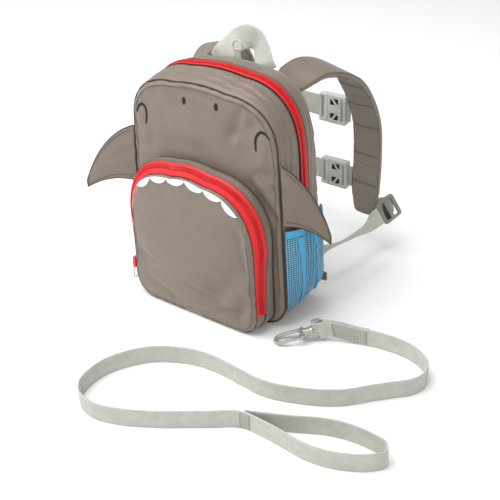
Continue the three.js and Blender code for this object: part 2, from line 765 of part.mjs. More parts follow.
function ladderLock(label, side) {
  const { across, along, normal, centre } = lockFrame(side);
  const plate = new THREE.Shape();
  const corner = 4;
  const halfW = lockWidth / 2;
  const halfL = lockLength / 2;
  plate.moveTo(-halfW + corner, -halfL);
  plate.lineTo(halfW - corner, -halfL);
  plate.quadraticCurveTo(halfW, -halfL, halfW, -halfL + corner);
  plate.lineTo(halfW, halfL - corner);
  plate.quadraticCurveTo(halfW, halfL, halfW - corner, halfL);
  plate.lineTo(-halfW + corner, halfL);
  plate.quadraticCurveTo(-halfW, halfL, -halfW, halfL - corner);
  plate.lineTo(-halfW, -halfL + corner);
  plate.quadraticCurveTo(-halfW, -halfL, -halfW + corner, -halfL);
  const slotHalf = halfW - lockSide;
  const slotTall = (lockLength - 3 * lockBar) / 2;
  for (const up of [-1, 1]) {
    const middle = up * (lockBar + slotTall) / 2;
    const slot = new THREE.Path();
    slot.moveTo(-slotHalf, middle - slotTall / 2);
    slot.lineTo(-slotHalf, middle + slotTall / 2);
    slot.lineTo(slotHalf, middle + slotTall / 2);
    slot.lineTo(slotHalf, middle - slotTall / 2);
    slot.closePath();
    plate.holes.push(slot);
  }
  const bevel = 0.8;
  const geometry = new THREE.ExtrudeGeometry(plate, {
    depth: lockThickness - 2 * bevel, bevelEnabled: true, bevelThickness: bevel,
    bevelSize: bevel, bevelOffset: -bevel, bevelSegments: 1, curveSegments: 3,
  });
  geometry.translate(0, 0, bevel - lockThickness / 2);
  const mesh = addPiece(`ladder_lock_${label}`, geometry, 'plastic');
  mesh.matrix.makeBasis(across, along, normal).setPosition(centre);
  mesh.matrix.decompose(mesh.position, mesh.quaternion, mesh.scale);
}

// Webbing tab from behind the end of the padded strap to the lock's far bar, and the adjusting
// webbing from its near bar down to the bag's back seam
function lowerWebbing(label, side) {
  const { across, along, normal, centre } = lockFrame(side);
  const inward = normal.clone().multiplyScalar(-side * Math.sign(normal.x));
  const size = () => ({ width: adjusterWidth, thickness: webbing });
  const farBar = centre.clone().addScaledVector(along, (lockBar - lockLength) / 2)
    .addScaledVector(inward, lockThickness / 2 + 3 * gap);
  const behind = new THREE.Vector3(0, strapPad / 2 + 4 * gap + webbing, 0);
  const onStrap = strapAtHeight(strapEnd + tabAbove, side).add(behind)
    .add(new THREE.Vector3(side * tabOutset, 0, 0));
  const tabEnd = farBar.clone().addScaledVector(inward, 1.2);
  const tabRows = [
    { point: onStrap, across: across.clone() },
    { point: onStrap.clone().lerp(tabEnd, 0.5), across: across.clone() },
    { point: tabEnd, across: across.clone() },
  ];
  addPiece(`strap_tab_${label}`, strip(stationsThrough(tabRows, 2, size), flatSection), 'webbing');
  const nearBar = centre.clone().addScaledVector(along, lockLength / 2 + gap);
  const seat = new THREE.Vector3(side * (footWidth / 2 - anchorInset), backSeamY + gap, anchorHeight);
  const webRows = [
    { point: nearBar, across: across.clone().negate() },
    { point: nearBar.clone().addScaledVector(along, 8), across: across.clone().negate() },
    { point: nearBar.clone().lerp(seat, 0.35).add(new THREE.Vector3(side * 3, 0, -2)),
      across: new THREE.Vector3(side * 0.5, 0, 0.87) },
    { point: nearBar.clone().lerp(seat, 0.7).add(new THREE.Vector3(side * 4, 0, 0)),
      across: new THREE.Vector3(side * 0.72, 0, 0.7) },
    { point: seat.clone().add(new THREE.Vector3(side * 1, anchorLift, 0)), across: new THREE.Vector3(side * 0.3, 0, 1) },
    { point: seat, across: new THREE.Vector3(side * 0.2, 0, 1) },
  ];
  addPiece(`lower_webbing_${label}`, strip(stationsThrough(webRows, 14, size), flatSection), 'webbing');
}

// Folded cloth tab sewn flat on the back panel under the webbing's end
function anchorTab(label, side) {
  const reach = 18;
  const tab = new THREE.Shape([
    new THREE.Vector2(0, -anchorWidth / 2), new THREE.Vector2(side * reach, -anchorWidth / 3),
    new THREE.Vector2(side * reach, anchorWidth / 4), new THREE.Vector2(0, anchorWidth / 2),
  ]);
  const geometry = new THREE.ExtrudeGeometry(tab, { depth: cloth, bevelEnabled: false });
  const mesh = addPiece(`anchor_tab_${label}`, geometry, 'cloth');
  mesh.rotation.x = Math.PI / 2;
  const below = anchorHeight - (adjusterWidth + anchorWidth) / 2 - 2;
  mesh.position.set(side * (footWidth / 2 - reach + 4), backSeamY + gap + cloth, below);
}

// D ring in a webbing tab, sewn on the back panel between the handle's legs
function tetherRing() {
  const tabY = backSeamY + gap + webbing / 2;
  const tabTop = backHeight + ringTabHeight / 2;
  const tab = box(ringTabWidth, webbing, ringTabHeight, [ringCentre, tabY, tabTop - ringTabHeight / 2]);
  addPiece('ring_tab', tab, 'webbing');
  const radius = ringWidth / 2;
  const sides = 20;
  const flat = -0.6;
  const middle = tabTop + gap + ringWire / 2 - flat * radius;
  const stations = Array.from({ length: sides }, (_, k) => {
    const turn = (2 * Math.PI * k) / sides;
    const up = Math.max(flat, Math.sin(turn));
    return {
      centre: new THREE.Vector3(ringCentre + radius * Math.cos(turn), tabY, middle + radius * up),
      across: new THREE.Vector3(Math.cos(turn), 0, Math.sin(turn)),
      through: new THREE.Vector3(0, 1, 0), width: ringWire, thickness: ringWire,
    };
  });
  addPiece('tether_ring', strip(stations, roundSection(6), true), 'plastic');
}

// The hook's own directions: from the eye to the nose, sideways, and up
const eyeHeight = tetherWidth + 2 * gap + 2 * eyeRim;
const eyeCentreZ = eyeHeight / 2 + 0.8;
const hookReach = eyeLength / 2 + gap + barrelLength + hookLength;
const hookFall = (eyeCentreZ - hookWire / 2 - gap) / hookReach;
const hookLevel = new THREE.Vector2(-0.765, -0.643).normalize().multiplyScalar(Math.sqrt(1 - hookFall ** 2));
const hookAlong = new THREE.Vector3(hookLevel.x, hookLevel.y, -hookFall);
const hookSide = new THREE.Vector3(0, 0, 1).cross(hookAlong).normalize();
const hookUp = new THREE.Vector3().crossVectors(hookAlong, hookSide);
const eyeCentre = new THREE.Vector3(eyePlace.x, eyePlace.y, eyeCentreZ);

function placeOnHook(mesh) {
  mesh.matrix.makeBasis(hookAlong, hookSide, hookUp).setPosition(eyeCentre);
  mesh.matrix.decompose(mesh.position, mesh.quaternion, mesh.scale);
}

// A cylinder along X from one place to another
function rod(radius, from, to, sides = 16) {
  const cylinder = new THREE.CylinderGeometry(radius, radius, to - from, sides);
  return cylinder.rotateZ(Math.PI / 2).translate((from + to) / 2, 0, 0);
}

// Rectangular eye with a stem that turns in the hook's barrel and a head that holds it there
function swivelEye() {
  const frontBar = eyeLength / 2;
  const slot = eyeLength - 2 * eyeBar;
  const barrelEnd = frontBar + gap + barrelLength + hookBase;
  let eye = toSolid(box(eyeLength, eyeThickness, eyeHeight));
  eye = eye.subtract(toSolid(box(slot, eyeThickness + 2, tetherWidth + 2 * gap)));
  eye = eye.add(toSolid(rod(stemRadius, frontBar - 1, barrelEnd + gap + stemHead, 12)));
  eye = eye.add(toSolid(rod(stemRadius + 1.2, barrelEnd + gap, barrelEnd + gap + stemHead, 12)));
  placeOnHook(addPiece('swivel_eye', toGeometry(eye), 'plastic'));
}

// Hook in one piece with its barrel: a back, a round end and a short nose, with two ears
// for the gate at the open side
function snapHook() {
  const start = eyeLength / 2 + gap + barrelLength;
  const offset = (hookWidth - hookWire) / 2;
  const bend = start + hookLength - hookWidth / 2;
  const points = [new THREE.Vector3(start + hookBase / 2, -offset, 0)];
  points.push(new THREE.Vector3(mix(start, bend, 0.5), -offset - 0.5, 0));
  for (let k = 0; k <= 8; k++) {
    const turn = -Math.PI / 2 + (Math.PI * k) / 8;
    points.push(new THREE.Vector3(bend + offset * Math.cos(turn), offset * Math.sin(turn), 0));
  }
  points.push(new THREE.Vector3(bend - noseLength, offset, 0));
  const wire = points.map((point, k) => {
    const tangent = points[Math.min(k + 1, points.length - 1)].clone().sub(points[Math.max(k - 1, 0)]).normalize();
    return {
      centre: point, across: new THREE.Vector3(tangent.y, -tangent.x, 0),
      through: new THREE.Vector3(0, 0, 1), width: hookWire, thickness: hookWire,
    };
  });
  let hook = toSolid(strip(wire, roundSection(8)));
  const baseTop = offset - gateRoot - 3 * gap;
  const baseWide = baseTop + hookWidth / 2;
  const base = box(hookBase, baseWide, hookWire, [start + hookBase / 2, baseTop - baseWide / 2, 0]);
  hook = hook.add(toSolid(base)).add(toSolid(rod(barrelRadius, start - barrelLength, start + 1)));
  hook = hook.add(toSolid(rod(barrelRadius + 0.8, start - barrelLength, start - barrelLength + 2.5)));
  const ear = (hookWire - gateThickness) / 2 - gap + 0.4;
  for (const up of [-1, 1]) {
    const z = up * (gateThickness / 2 + gap + ear / 2);
    const plate = box(hookBase, offset + hookWire / 2, ear, [start + hookBase / 2, (offset + hookWire / 2) / 2, z]);
    hook = hook.add(toSolid(plate));
  }
  hook = hook.subtract(toSolid(rod(stemRadius + stemPlay, start - barrelLength - 1, start + hookBase + 1, 12)));
  placeOnHook(addPiece('snap_hook', toGeometry(hook), 'plastic'));
}

// Spring gate: a lever with a round root between the ears, closing against the nose
function hookGate() {
  const start = eyeLength / 2 + gap + barrelLength;
  const offset = (hookWidth - hookWire) / 2;
  const bend = start + hookLength - hookWidth / 2;
  const lever = new THREE.Shape();
  const rootX = start + hookBase / 2;
  lever.absarc(rootX, offset, gateRoot, Math.PI / 2, 1.5 * Math.PI, false);
  lever.lineTo(bend - noseLength - gap, offset - gateThickness / 2);
  lever.lineTo(bend - noseLength - gap, offset + gateThickness / 2);
  const gate = new THREE.ExtrudeGeometry(lever, { depth: gateThickness, bevelEnabled: false, curveSegments: 6 });
  placeOnHook(addPiece('hook_gate', gate.translate(0, 0, -gateThickness / 2), 'plastic'));
}

// The lead's own directions where it leaves the eye's rear bar, level with the eye
const leadHeading = new THREE.Vector3(0.88, 0.47, 0).projectOnPlane(hookUp).normalize();
const leadSide = new THREE.Vector3().crossVectors(leadHeading, hookUp);
const layerOffset = (webbing + gap) / 2;
const foldNeck = 6;
const rearBar = eyeCentre.clone().addScaledVector(hookAlong, -(eyeLength - eyeBar) / 2);
const leadStart = rearBar.clone().addScaledVector(leadHeading, foldNeck).addScaledVector(leadSide, layerOffset);

// Floor route of the tether, chosen point by point: from the hook's eye, out and back round
// to the left, and on to the start of the hand loop, then round the loop to its sewn joint
const tetherRoute = [
  [leadStart.x, leadStart.y], [161.5, -20.2], [182, -12.8], [201, -9.2], [222, -8.5], [242, -14.5],
  [256, -25.5], [261, -42], [256, -57], [245, -69], [232, -82.5], [209, -107.5], [178, -125.5],
  [143, -136.5], [113, -135.5], [82, -133], [54, -136.5], [22, -152], [4, -171.5], [-7, -194.5],
  [-9, -216.5], [-4, -235.5], [10, -247.5], [30, -250.5], [55, -243.5], [85, -227.5],
  [122, -202.5], [150, -184], [176, -183], [196, -184.5], [218, -186.5], [241, -183.5],
  [261, -175.5], [276, -165], [283, -155], [278, -146], [263, -143], [241, -143.5],
  [219, -149], [188, -164.5], [164, -175.5], [152, -180.5],
];
const tetherSteps = 76;
const tetherCurve = new THREE.CatmullRomCurve3(
  tetherRoute.map(([x, y]) => new THREE.Vector3(x, y, tetherWidth / 2)));

// Centre and directions of the tether at a share of its length. It stands on its edge, and
// near the eye it rises and leans with the eye.
function tetherStation(share) {
  const tangent = tetherCurve.getTangentAt(share);
  const onFloor = smooth(share / 0.04);
  const centre = tetherCurve.getPointAt(share);
  centre.z = mix(leadStart.z, tetherWidth / 2, onFloor);
  return {
    centre, across: hookUp.clone().lerp(new THREE.Vector3(0, 0, 1), onFloor).normalize(),
    through: new THREE.Vector3(tangent.y, -tangent.x, 0).normalize(),
    width: tetherWidth, thickness: webbing,
  };
}

function tether() {
  const stations = Array.from({ length: tetherSteps + 1 }, (_, i) => tetherStation(i / tetherSteps));
  addPiece('tether_webbing', strip(stations, flatSection), 'webbing');
}

// The webbing's sewn fold: from the lead's start round the eye's rear bar and back along
// the lead's far side
function hookFold() {
  const around = Math.hypot(eyeBar, eyeThickness) / 2 + gap + webbing / 2;
  const stations = [];
  const add = (along, aside, outward) => stations.push({
    centre: rearBar.clone().addScaledVector(leadHeading, along).addScaledVector(leadSide, aside),
    across: hookUp.clone(), through: outward.clone().negate().normalize(),
    width: tetherWidth, thickness: webbing,
  });
  const slant = leadHeading.clone().multiplyScalar(0.45);
  add(foldNeck - gap, layerOffset, leadSide);
  add(foldNeck * 0.55, around * 0.72, leadSide.clone().add(slant));
  const turns = 8;
  for (let k = 0; k <= turns; k++) {
    const turn = (Math.PI * k) / turns;
    const out = leadSide.clone().multiplyScalar(Math.cos(turn)).addScaledVector(leadHeading, -Math.sin(turn));
    add(-around * Math.sin(turn), around * Math.cos(turn), out);
  }
  add(foldNeck * 0.55, -around * 0.72, leadSide.clone().negate().add(slant));
  const length = tetherCurve.getLength();
  const pieces = 6;
  for (let k = 0; k <= pieces; k++) {
    const station = tetherStation((foldLength * k) / pieces / length);
    station.centre.addScaledVector(station.through, -2 * layerOffset);
    stations.push(station);
  }
  addPiece('hook_fold', strip(stations, flatSection), 'webbing');
}

// A zipper slider on the -X side of a wall, with a bail whose hole runs along Y
const pullPivot = [-sliderThickness - pullWire / 2 - 0.5, 0, 2.5 - sliderLength / 2];

function sliderBody(bail) {
  const body = toSolid(box(sliderThickness, sliderWidth, sliderLength, [-sliderThickness / 2, 0, 0]));
  if (!bail) return body;
  const reach = pullWire + 2;
  const place = [-sliderThickness - reach / 2 + 0.5, 0, 2.5 - sliderLength / 2];
  const ear = toSolid(box(reach + 1, bailWidth, 5, place));
  const hole = new THREE.CylinderGeometry(pullWire / 2 + gap, pullWire / 2 + gap, bailWidth + 2, 10);
  return body.add(ear).subtract(toSolid(hole.translate(...pullPivot)));
}

function pocketSlider() {
  const share = 1 - shareAtHeight(pocketRim, sliderHeight);
  const deep = (pocketSeamBand / pocketDepth + 1) / 2;
  const seat = pocketWall(share, deep, zipperProud + pocketBulge / 2 + gap);
  const body = addPiece('pocket_slider', toGeometry(sliderBody(true)), 'zipper');
  body.position.copy(seat);
  const halfWidth = (pullWidth - pullWire) / 2;
  const length = pullLength - pullWire;
  const corners = [[-1, 0], [-1, 1], [1, 1], [1, 0]];
  const bend = pullWire;
  const loop = [];
  for (const [across, down] of corners) {
    const y = across * halfWidth;
    const z = -down * length;
    const inY = -across * bend;
    const inZ = down ? bend : -bend;
    const first = [y + (down === (across < 0 ? 0 : 1) ? inY : 0), z + (down === (across < 0 ? 0 : 1) ? 0 : inZ)];
    const second = [y + (down === (across < 0 ? 0 : 1) ? 0 : inY), z + (down === (across < 0 ? 0 : 1) ? inZ : 0)];
    loop.push(first, second);
  }
  const stations = loop.map(([y, z], k) => {
    const before = loop[(k + loop.length - 1) % loop.length];
    const after = loop[(k + 1) % loop.length];
    const tangent = new THREE.Vector3(0, after[0] - before[0], after[1] - before[1]).normalize();
    return {
      centre: new THREE.Vector3(0, y, z), across: new THREE.Vector3(0, tangent.z, -tangent.y),
      through: new THREE.Vector3(1, 0, 0), width: pullWire, thickness: pullWire,
    };
  });
  const pull = addPiece('pocket_pull', strip(stations, roundSection(6), true), 'zipper');
  pull.position.copy(seat).add(new THREE.Vector3(...pullPivot));
}

// The main zipper's slider rests at its far end, with a plain fixed tab
function mainSlider() {
  const height = zipperEnd + sliderLength;
  const share = 1 - shareAtHeight(bagOutline, height);
  const seat = bagWall(share, zipperBehindMiddle, zipperProud + gap + 0.5);
  const tab = box(pullWire, pullWidth, pullLength, [-sliderThickness - pullWire / 2 + 0.2, 0, -pullLength / 2]);
  const slider = addPiece('main_slider', toGeometry(sliderBody(false).add(toSolid(tab))), 'zipper');
  slider.position.copy(seat);
}

mainCompartment();
frontPocket();
teeth();
fin('fin_left', -1, finTips.left);
fin('fin_right', 1, finTips.right);
for (const [label, side] of [['left', -1], ['right', 1]]) {
  meshPocket(label, side);
  shoulderStrap(label, side);
  ladderLock(label, side);
  lowerWebbing(label, side);
  anchorTab(label, side);
}
handle();
tetherRing();
for (const [level, height] of Object.entries(chestHeights)) {
  buckle(level, height);
  chestWebbing(level, height);
}
tether();
hookFold();
swivelEye();
snapHook();
hookGate();
pocketSlider();
mainSlider();

export default bag;
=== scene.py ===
# %% [markdown]
# # A toddler harness backpack
# The bag is a small sewn backpack with an animal's face, padded shoulder straps and a webbing
# tether. Its measured model is loaded as a fixed frame, and each soft piece is then worked out
# again as a finer surface in the same place, so nothing has to be fitted by hand.

# %% Frame and units
import math
import bmesh
import bpy
import numpy as np
from mathutils import Matrix, Vector


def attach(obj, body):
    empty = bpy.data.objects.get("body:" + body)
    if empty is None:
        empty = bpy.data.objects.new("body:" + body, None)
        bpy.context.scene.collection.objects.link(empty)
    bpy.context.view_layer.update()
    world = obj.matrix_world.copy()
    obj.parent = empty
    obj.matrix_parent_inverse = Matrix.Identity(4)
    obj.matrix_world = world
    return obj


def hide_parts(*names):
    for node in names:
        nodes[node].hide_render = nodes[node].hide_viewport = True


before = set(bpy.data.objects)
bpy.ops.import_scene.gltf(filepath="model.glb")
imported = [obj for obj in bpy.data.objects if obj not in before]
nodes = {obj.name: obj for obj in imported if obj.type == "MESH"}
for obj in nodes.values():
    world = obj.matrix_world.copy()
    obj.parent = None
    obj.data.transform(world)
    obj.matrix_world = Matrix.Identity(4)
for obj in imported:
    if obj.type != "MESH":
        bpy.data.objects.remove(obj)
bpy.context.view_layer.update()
MM = 0.001
bag_height, back_height, pocket_height = 252, 257, 163
bag_half_width, pocket_half_width, bag_depth = 98, 82, 73
front_y, back_y, pocket_face_y = -36.5, 36.5, -66.5
webbing, wide_webbing, narrow_webbing, slip = 1.8, 25, 20, 0.3
print("nodes in the frame:", len(nodes))

# %% [markdown]
# ## The camera
# The photograph looks down on the bag from its front right corner. The camera was solved from
# the measured edges of the bag, so it is given as a target, two angles, a distance and a small
# roll. It comes first because the tether is judged by what the camera sees of it.

# %% Camera
turn, tilt, roll = math.radians(37.2), math.radians(31.0), math.radians(-2.1)
distance, focal_pixels, picture_pixels, sensor = 1.0138, 947, 500, 36
target = Vector((33.8, -8.5, 63.1)) * MM
forward = Vector((-math.sin(turn) * math.cos(tilt), math.cos(turn) * math.cos(tilt), -math.sin(tilt)))
level = Vector((math.cos(turn), math.sin(turn), 0))
above = level.cross(forward)
side = level * math.cos(roll) + above * math.sin(roll)
top = above * math.cos(roll) - level * math.sin(roll)
camera = bpy.data.objects.new("camera", bpy.data.cameras.new("camera"))
camera.data.sensor_width = sensor
camera.data.lens = focal_pixels / picture_pixels * sensor
facing_matrix = Matrix((side, top, -forward)).transposed().to_4x4()
camera.matrix_world = Matrix.Translation(target - forward * distance) @ facing_matrix
bpy.context.scene.collection.objects.link(camera)
bpy.context.scene.camera = camera
bpy.context.scene.view_settings.view_transform = "Standard"
print("camera at", [round(x, 3) for x in camera.matrix_world.translation])

# %% [markdown]
# ## Surfaces from arrays
# A sewn piece is a sheet, so a grid of points with two parameters describes it well. The helper
# below turns such a grid into a mesh with a map of real distances on it, which the weave of the
# cloth follows. Grids can close on themselves in either direction, and their ends can be capped.

# %% Grid to mesh
def grid_faces(rows, columns, ring_rows, ring_columns):
    """Corner numbers of the quads between neighbouring rows and columns of a grid, wrapping
    round where the grid closes on itself."""
    i = np.arange(rows if ring_rows else rows - 1)
    j = np.arange(columns if ring_columns else columns - 1)
    i, j = [a.ravel() for a in np.meshgrid(i, j, indexing="ij")]
    ni, nj = (i + 1) % rows, (j + 1) % columns
    corners = np.stack([i * columns + j, ni * columns + j, ni * columns + nj, i * columns + nj], 1)
    return corners, np.stack([i, i + 1, i + 1, i], 1), np.stack([j, j, j + 1, j + 1], 1)


def run(line):
    """Distance walked along a line of points, starting from 0."""
    return np.concatenate([[0], np.cumsum(np.linalg.norm(np.diff(line, axis=0), axis=1))])


def sampled(place, length, field):
    """The rows of a field at places along a line whose walked length is given."""
    return np.stack([np.interp(place, length, field[:, k]) for k in range(3)], 1)


def walked(points, axis, closed):
    """Distance walked along one direction of a grid, averaged over the other direction."""
    if closed:
        points = np.concatenate([points, points[:1] if axis == 0 else points[:, :1]], axis)
    steps = np.linalg.norm(np.diff(points, axis=axis), axis=2).mean(1 - axis)
    return np.concatenate([[0], np.cumsum(steps)])


def placed(name, mesh, body):
    """A new object with a mesh, in the scene and on one of the frame's bodies."""
    piece = bpy.data.objects.new(name, mesh)
    bpy.context.scene.collection.objects.link(piece)
    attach(piece, body)
    return piece


def surface(name, points, ring_rows=False, ring_columns=False, caps=False, middle=None,
            facing=None, body="bag"):
    """A mesh from a rows x columns x 3 grid of millimetre points. caps closes both ends of a
    tube; middle closes a disc's last row on one point; facing gives the direction that faces
    turn to at their middles, and None means outward from a closed shape's own middle."""
    points = np.asarray(points, float) * MM
    rows, columns = points.shape[:2]
    faces, along, across = grid_faces(rows, columns, ring_rows, ring_columns)
    u, v = walked(points, 0, ring_rows), walked(points, 1, ring_columns)
    maps = np.stack([u[along], v[across]], 2)
    corners = points.reshape(-1, 3)
    polygons = faces.tolist()
    loops = maps.reshape(-1, 2)
    if caps:
        first, last = list(range(columns)), list(range((rows - 1) * columns, rows * columns))
        polygons += [first, last[::-1]]
        loops = np.vstack([loops, np.zeros((2 * columns, 2))])
    if middle is not None:
        loops = corners[faces.ravel()][:, [0, 2]]
        corners = np.vstack([corners, np.asarray(middle, float) * MM])
        base = (rows - 1) * columns
        k = np.arange(columns)
        fan = np.stack([base + k, np.full(columns, rows * columns), base + (k + 1) % columns], 1)
        polygons += fan.tolist()
        loops = np.vstack([loops, corners[fan.ravel()][:, [0, 2]]])
    mesh = bpy.data.meshes.new(name)
    mesh.from_pydata(corners.tolist(), [], polygons)
    mesh.uv_layers.new(name="cloth").data.foreach_set("uv", loops.astype(np.float32).ravel())
    mesh.shade_smooth()
    if facing is None:
        a, b, c, d = (corners[faces[:, k]] - corners.mean(0) for k in range(4))
        volume = (np.cross(a, b) * c).sum() + (np.cross(a, c) * d).sum()
        wrong = volume < 0
    else:
        a, b, c, d = (corners[faces[:, k]] for k in range(4))
        wrong = (np.cross(c - a, d - b) * facing(corners[faces].mean(1) / MM)).sum() < 0
    if wrong:
        mesh.flip_normals()
    mesh.validate()
    return placed(name, mesh, body)


def towards(*direction):
    """The same facing direction for every face."""
    return lambda points: points * 0 + np.array(direction)


def smooth(share):
    """A step from 0 to 1 that starts and ends level."""
    s = np.clip(share, 0, 1)
    return s * s * (3 - 2 * s)


def mix(a, b, share):
    """The value a given share of the way from a to b."""
    return a + (b - a) * share


def unit(vectors):
    """Vectors of length one with the same directions."""
    return vectors / np.maximum(np.linalg.norm(vectors, axis=-1, keepdims=True), 1e-9)


print("surface helpers ready")

# %% [markdown]
# ## A smooth line through given points
# Straps and webbing follow a line through a few measured points. A Catmull-Rom curve passes
# through each of them, and spacing its parts by the root of their distance keeps it from
# looping where two points lie close together. A section is then carried along the line.

# %% Curves and ribbons
def through(rows, shares):
    """Points of a centripetal Catmull-Rom curve through the rows: a cubic in each stretch,
    whose end slopes come from the neighbouring rows and the roots of their distances."""
    rows = np.asarray(rows, float)
    padded_rows = np.vstack([2 * rows[0] - rows[1], rows, 2 * rows[-1] - rows[-2]])
    place = np.clip(shares, 0, 1) * (len(rows) - 1)
    i = np.minimum(place.astype(int), len(rows) - 2)
    w = (place - i)[:, None]
    p0, p1, p2, p3 = (padded_rows[i + k] for k in range(4))
    d = [np.maximum(((b - a) ** 2).sum(1) ** 0.25, 1e-9)[:, None]
         for a, b in ((p0, p1), (p1, p2), (p2, p3))]
    d1 = np.where(d[1] < 1e-4, 1, d[1])
    d0, d2 = (np.where(x < 1e-4, d1, x) for x in (d[0], d[2]))
    s1 = ((p1 - p0) / d0 - (p2 - p0) / (d0 + d1) + (p2 - p1) / d1) * d1
    s2 = ((p2 - p1) / d1 - (p3 - p1) / (d1 + d2) + (p3 - p2) / d2) * d1
    return p1 + s1 * w + (3 * (p2 - p1) - 2 * s1 - s2) * w**2 + (2 * (p1 - p2) + s1 + s2) * w**3


def frames_along(points, widths, shares):
    """Centre, width direction and thickness direction at each share of a line through rows of
    points and of width directions."""
    centre = through(points, shares)
    ahead, behind = np.minimum(shares + 1e-4, 1), np.maximum(shares - 1e-4, 0)
    slope = unit(through(points, ahead) - through(points, behind))
    thick = unit(np.cross(slope, through(widths, shares)))
    return centre, unit(np.cross(thick, slope)), thick


def carried(centre, across, thick, section, width, thickness):
    """A section, given as shares of width and thickness, carried along frames."""
    section = np.asarray(section, float)
    width, thickness = (np.broadcast_to(x, len(centre)) for x in (width, thickness))
    return (centre[:, None] + across[:, None] * (section[None, :, :1] * width[:, None, None])
            + thick[:, None] * (section[None, :, 1:] * thickness[:, None, None]))


def pillow(count, power):
    """A closed section between a flat oval and a rounded box: cosine and sine, each raised to
    a power below one with its sign kept."""
    a = 2 * np.pi * (np.arange(count) + 0.5) / count
    c, s = np.cos(a), np.sin(a)
    return np.stack([0.5 * np.sign(c) * np.abs(c) ** power, 0.5 * np.sign(s) * np.abs(s) ** power], 1)


def ribbon(name, frames, width, thickness=webbing):
    """Webbing with flat faces and rounded selvedges, carried along frames."""
    points = carried(*frames, webbing_section, width, thickness)
    return surface(name, points, ring_columns=True, caps=True)


webbing_section = np.array([
    [-0.5, 0], [-0.495, -0.3], [-0.47, -0.48], [-0.4, -0.5], [-0.2, -0.5], [0, -0.5], [0.2, -0.5],
    [0.4, -0.5], [0.47, -0.48], [0.495, -0.3], [0.5, 0], [0.495, 0.3], [0.47, 0.48], [0.4, 0.5],
    [0.2, 0.5], [0, 0.5], [-0.2, 0.5], [-0.4, 0.5], [-0.47, 0.48], [-0.495, 0.3]])
print("webbing section:", len(webbing_section), "corners")

# %% [markdown]
# ## The tether
# The tether is one flat webbing, 20 mm wide, that stands on its edge on the floor. It leaves
# the swivel eye, swings out to the right, comes back round to the left and ends in a hand loop
# whose end is sewn on the lead. It is limp cloth, so it is carried along the measured route.

# %% Tether route and webbing
hook_along = np.array([-0.743263, -0.62473, -0.239316])
hook_up = np.array([-0.183198, -0.153982, 0.970942])
eye = np.array([135, -32.5, 13.5])
eye_length, bar_thick, bar_high, standing = 9, 2.8, 3.2, narrow_webbing / 2
heading = np.array([0.88, 0.47, 0])
heading = unit(heading - hook_up * (heading @ hook_up))
lead_side = np.cross(heading, hook_up)
layer = (webbing + slip) / 2
rear_bar = eye - hook_along * (eye_length - bar_thick) / 2
lead_start = rear_bar + heading * 6 + lead_side * layer
route = np.array([
    lead_start[:2], [161.5, -20.2], [182, -12.8], [201, -9.2], [222, -8.5], [242, -14.5],
    [256, -25.5], [261, -42], [256, -57], [245, -69], [232, -82.5], [209, -107.5], [178, -125.5],
    [143, -136.5], [113, -135.5], [82, -133], [54, -136.5], [22, -152], [4, -171.5], [-7, -194.5],
    [-9, -216.5], [-4, -235.5], [10, -247.5], [30, -250.5], [55, -243.5], [85, -227.5],
    [122, -202.5], [150, -184], [176, -183], [196, -184.5], [218, -186.5], [241, -183.5],
    [261, -175.5], [276, -165], [283, -155], [278, -146], [263, -143], [241, -143.5],
    [219, -149], [188, -164.5], [164, -175.5], [152, -180.5]])
fine = through(np.column_stack([route, np.full(len(route), float(standing))]), np.linspace(0, 1, 4001))
reach = run(fine)
tether_length = reach[-1]


def tether_frames(distance):
    """Centre and directions of the tether at distances along its route. It stands upright,
    and over its first 4% it rises and leans with the eye."""
    centre, ahead, behind = (sampled(distance + step, reach, fine) for step in (0, 0.3, -0.3))
    slope = unit(ahead - behind)
    floor = smooth(distance / tether_length / 0.04)
    centre[:, 2] = mix(lead_start[2], standing, floor)
    across = unit(mix(hook_up, np.array([0, 0, 1.0]), floor[:, None]))
    return centre, across, unit(np.stack([slope[:, 1], -slope[:, 0], 0 * floor], 1))


tether = ribbon("tether", tether_frames(np.linspace(0, tether_length, 641)), narrow_webbing)
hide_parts("tether_webbing")

around = math.hypot(bar_thick, bar_high) / 2 + slip + webbing / 2
turned = [(-around * math.sin(a), around * math.cos(a)) for a in np.linspace(0, np.pi, 17)]
neck = [(6 - slip, layer), (3.3, around * 0.8)] + turned + [(3.3, -around * 0.8)]
neck = np.array([rear_bar + heading * a + lead_side * b for a, b in neck])
tail, tail_across, tail_thick = tether_frames(np.linspace(0, 44, 15))
fold_rows = np.vstack([neck, tail - tail_thick * 2 * layer])
fold_widths = np.vstack([np.repeat(hook_up[None], len(neck), 0), tail_across])
fold_frames = frames_along(fold_rows, fold_widths, np.linspace(0, 1, 121))
fold = ribbon("tether_fold", fold_frames, narrow_webbing)
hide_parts("hook_fold")
print("tether length mm:", round(tether_length))

# %% [markdown]
# ## Outlines of the bag
# Seen from the front, the bag and its pocket are arches: a flat foot, sides that taper and wide
# soft corners. Each outline is a row of Bezier curves, measured by its length, so that a share
# from 0 to 1 goes once round. The wall between two outlines is then one function.

# %% Arch outlines
def bezier(points, count=240):
    """Points of a Bezier curve of any degree, by repeated mixing of neighbouring points."""
    t = np.linspace(0, 1, count)[:, None, None]
    level_points = np.repeat(np.asarray(points, float)[None], count, 0)
    while level_points.shape[1] > 1:
        level_points = mix(level_points[:, :-1], level_points[:, 1:], t)
    return level_points[:, 0]


